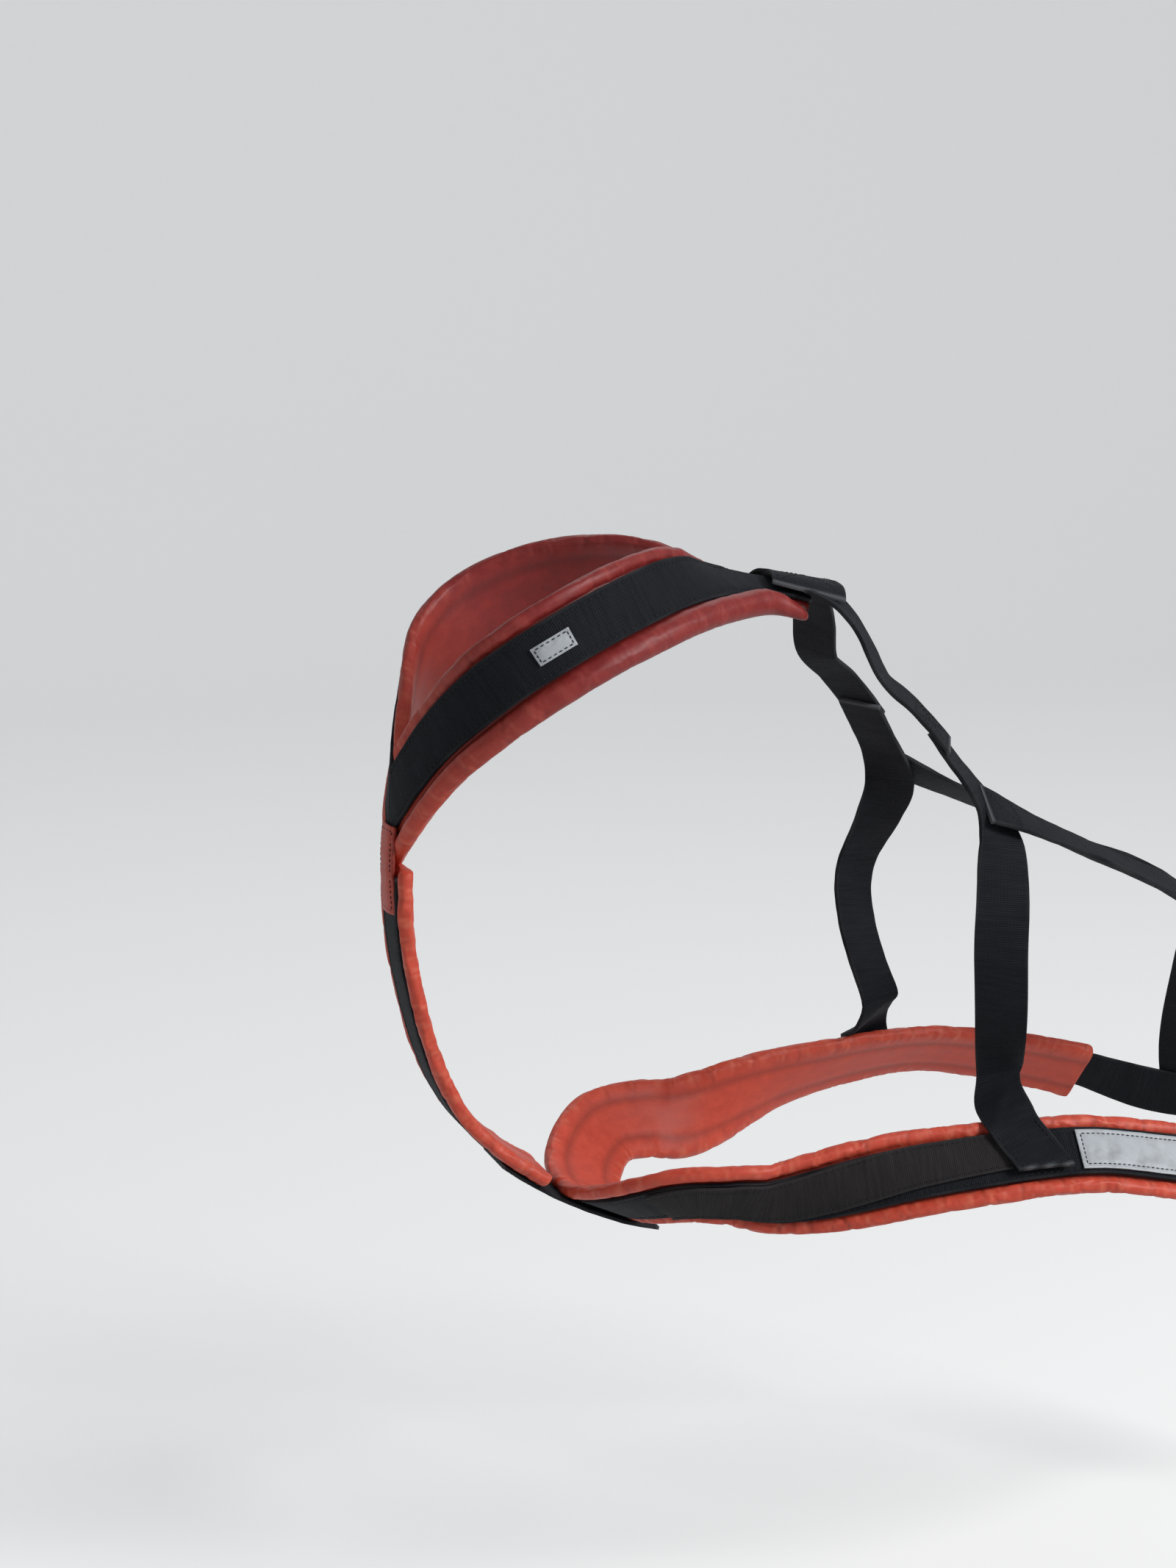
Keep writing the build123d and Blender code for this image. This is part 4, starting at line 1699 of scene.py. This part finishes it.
for number, side in enumerate(SIDES):
    cells = (upright_cells, cells_across)
    strap = strip(f"upright_band_{side}", full(upright_way), webbing_width, *cells)
    spots = points(strap)
    x, y = spots[:, 0], spots[:, 1]
    spots[:, 2] = uneven(spots, 0.16, 11 + number)
    kink(spots)
    spots[:, 2] += upright_press * np.clip(1 - x / upright_press_reach, 0, 1) ** 1.5
    patches = 0.5 + 0.5 * np.sin(x * 0.19 + number) * np.sin(x * 0.047)
    note_wear(strap, spots, foot_middle + foot_slant * y, webbing_width, patches)
    move_points(strap, spots)
    cut_off(strap, (foot_middle, 0, 0), (1, -foot_slant, 0), False)
    thicken(strap, webbing_thick)
    strap.data.materials.append(webbing)
    put_on(strap, upright_way, [f"upright_{side}"], side=side)
    half = webbing_width / 2 - seam_inset
    foot = [(foot_middle + foot_slant * y - foot_seam, y) for y in (-half, half)]
    tops = [(foot[0][0] - front_row, -half), (foot[1][0] - rear_row, half)]
    lines = [foot, (tops[0], foot[0]), (tops[1], foot[1])]
    rows = [stitch_line(start, end, on_strap, close_pitch) for start, end in lines]
    sew(f"upright_stitches_{side}", rows, upright_way, side=side)
slant = round(np.degrees(np.arctan(foot_slant)))
print("upright:", round(foot_middle), "mm long, trimmed at", slant, "degrees")

# %% [markdown]
# The rear straps start on the uprights, with a cut end and a box of stitches, cross over the
# back, the right one over the left, and are sewn on the side band's webbing of the other side.

# %% The rear straps


def over_the_crossing(place):
    return crossing_lift * np.clip(crossing_reach - np.abs(place - crossing), 0, 1)


rear_presses = [Press(0, 1.8, 24)]
for number, side in enumerate(SIDES):
    way = route(REAR, rise=over_the_crossing if side == "right" else None)
    rows = box_rows(3, 20, 18, on_strap) + box_rows(full(way) - 24, full(way) - 3, 19, on_strap)
    make = {"side": side, "presses": rear_presses, "sewn": False}
    webbing_band("rear", way, [f"rear_strap_{side}"], rows, seed=13 + number, **make)
print("rear strap:", round(full(way)), "mm long")

# %% [markdown]
# A padded strap runs down the breast, from the V of the neck loop to the brisket. It is made as
# the side bands are, and its padding is tucked a little way into the joints at both its ends.

# %% The breast strap
chest_way = route(CHEST)
chest_flat = route(CHEST, flat=True)
chest_tuck = 5.0
chest_length = full(chest_flat) + 2 * chest_tuck


def chest_outline(x):
    roll = edge_roll * closing(x, chest_length, 0.75)
    return band_outline(roll, side_set, roll, -side_set)


creases = {"seed": 91, "spacing": 7.0, "depth": 0.45}
cover = padded_cover("chest_cover_cloth", chest_length, chest_outline, **creases)
fill_out(cover, slack=0.03, cap=0.45)
finish_cover(cover, chest_flat, ["chest_pad"], fill=0.8, start=-chest_tuck)
rows = edge_rows(4, full(chest_way) - 4)
webbing_band("chest", chest_way, ["chest_webbing"], rows, seed=15)
print("breast strap:", round(full(chest_way)), "mm long")

# %% [markdown]
# Where the two halves of the neck loop meet on the breast, a small fold of the red cover cloth
# is sewn over the joint. It is a single sheet, stretched flat over the webbing's end.

# %% The fold at the V
tip_way = route(TIP)
tip_wrap = 1.8


def wrap_round(spots):
    """Bend the edges of the fold down round the webbing under it."""
    spots[:, 2] -= tip_wrap * (np.abs(spots[:, 1]) / (tip_width / 2)) ** 3


tip = strip("chest_tip_cloth", full(tip_way), tip_width, 28, 16)
spots = points(tip)
breadth = np.abs(spots[:, 1])
spots[:, 2] += ripple(spots, 0.14, 17, 12.0) - 0.3 * near(breadth, tip_width / 2 - 2.2, 0.8)
wrap_round(spots)
folds = crease_depths(spots[:, 0], tip_width / 2 - breadth, 18, 5.0, 0.25, 7.0)
spots[:, 2] -= folds
# Painted shade darkens the fold's edges, where they wrap round, and its creases, and a little of
# the neck loop's painted shade lies on all of it
note(tip, "seam", near(breadth, tip_width / 2, 1.0) * 0.6)
note(tip, "crease_shade", np.clip(folds * 3, 0, 1))
note(tip, "wear_and_highlight", 0 * folds)
note(tip, "out_of_painted_shade", 0 * folds + 0.8)
move_points(tip, spots)
thicken(tip, tip_thick)
tip.data.materials.append(padding)
put_on(tip, tip_way, ["chest_tip"], "padding")
rows = box_rows(2.2, full(tip_way) - 2.2, tip_width - 4.4, tip_thick / 2 - 0.1, crossed=False)
for row in rows:
    spots = points(row)
    wrap_round(spots)
    move_points(row, spots)
sew("chest_tip_stitches", rows, tip_way)
print("fold of cover cloth:", round(full(tip_way)), "by", tip_width, "mm")

# %% [markdown]
# Two patches of wide webbing tie the bands together: one over the ends of the side bands and the
# breast strap at the brisket, one across the withers, whose ends bend down onto the neck loop.
# Each is held by a crossed box of stitches.

# %% The patches
patch_press_reach = 10
Patch = namedtuple("Patch", "name stops width seed press")
PATCHES = [
    Patch("brisket_patch", BRISKET, brisket_patch_width, 19, 0.0),
    Patch("withers_patch", WITHERS, withers_patch_width, 21, 2.2),
]
for patch in PATCHES:
    way = route(patch.stops)
    rows = box_rows(3, full(way) - 3, patch.width - 6, patch_thick / 2 + stitch_rise)
    presses = [Press(end, patch.press, patch_press_reach) for end in (0, full(way))]
    make = {"presses": presses, "width": patch.width, "thick": patch_thick, "sewn": False}
    webbing_band(patch.name, way, [patch.name], rows, patch.seed, **make)
    print(patch.name, round(full(way)), "by", patch.width, "mm")

# %% [markdown]
# The labels are sewn on the left side only: a long one on the side band behind the upright, and a
# small one on the neck loop. A row of dark stitches runs round each, a little inside its edge,
# and dents the cloth.

# %% The labels
label_cell = 1.2
label_cells_across = 18
label_rise = (webbing_thick + label_thick) / 2 + sewn_gap
on_label = label_rise + label_thick / 2 - 0.08
neck_label_width = 9.0
side_label_at = length_at(left_way, SIDE, label_start)
neck_label_at = length_at(neck_way, NECK, neck_label_start)
LABELS = [
    ("side", left_way, side_label_at, label_length, label_width, 0.0, 2.3),
    ("neck", neck_way, neck_label_at, neck_label_length, neck_label_width, neck_middle, 1.3),
]
for name, way, start, length, width, across, inset in LABELS:
    cells_along = round(length / label_cell)
    label = strip(f"{name}_label_cloth", length, width, cells_along, label_cells_across)
    spots = points(label)
    from_side = width / 2 - np.abs(spots[:, 1])
    from_end = np.minimum(spots[:, 0], length - spots[:, 0])
    dent = near(np.minimum(from_side, from_end), inset, 0.6)
    spots[:, 2] += ripple(spots, 0.09, 23, 15.0) - 0.2 * dent
    move_points(label, spots)
    thicken(label, label_thick, 0.2)
    shift_flat(label, across, label_rise)
    label.data.materials.append(label_cloth)
    put_on(label, way, [f"{name}_label"], "label", start=start)
    rows = box_rows(inset, length - inset, width - 2 * inset, on_label, across, crossed=False)
    sew(f"{name}_label_stitches", rows, way, start=start)
    print(name, "label:", length, "by", width, "mm")

# %% [markdown]
# At the tail both webbings end inside a folded eye of webbing, which goes round the bar of a
# steel D-ring. The fold gets a route of its own: out along the top, half round the bar, and back
# underneath. The ring is a CAD solid whose shape is right, so it stays and only gets its finish.

# %% The tail eye
tail_middle = route(TAIL)
tail_across, tail_off = at_length(tail_middle, full(tail_middle) / 2, "across", "off")
tail_origin = coat(np.array([TAIL[1].station]), np.array([TAIL[1].angle]))[0]
tail_run = np.cross(tail_across, tail_off)
fold_low = coat_gap
fold_high = on_coat + layer + tail_lift + webbing_thick / 2 + sewn_gap + eye_wall + eye_slack
fold_middle = (fold_high + fold_low) / 2
fold_radius = wire_radius + ring_play + eye_wall / 2
leg_reach = (fold_high - fold_low - eye_wall) / 2
leg_points = 24
leg = np.linspace(eye_distance - eye_leg, eye_distance, leg_points)
bow = np.radians(np.linspace(90, -90, leg_points + 1))[1:-1]
ahead = np.concatenate([leg, eye_distance + fold_radius * np.cos(bow), leg[::-1]])
above = np.concatenate([np.ones(leg_points), np.sin(bow), -np.ones(leg_points)])
height = fold_middle + leg_reach * above
spots = tail_origin + ahead[:, None] * tail_run + height[:, None] * tail_off
run = unit(np.gradient(spots, axis=0))
across = np.repeat(unit(tail_across)[None], len(spots), axis=0)
fold_way = measured(np.arange(len(spots)), spots, across, unit(np.cross(run, across)), run)
rows = box_rows(3, eye_leg - 9, 19, eye_wall / 2 + stitch_rise)
webbing_band("tail_eye", fold_way, ["tail_eye"], rows, 25, thick=eye_wall, sewn=False)

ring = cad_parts["tow_ring"]
ring.data.materials.clear()
ring.data.materials.append(steel)
print("tail eye:", round(full(fold_way)), "mm of webbing round the ring's bar")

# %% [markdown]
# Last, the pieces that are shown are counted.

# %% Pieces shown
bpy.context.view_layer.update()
shown = [piece for piece in scene.objects if piece.type == "MESH" and not piece.hide_render]
print("pieces:", len(shown))
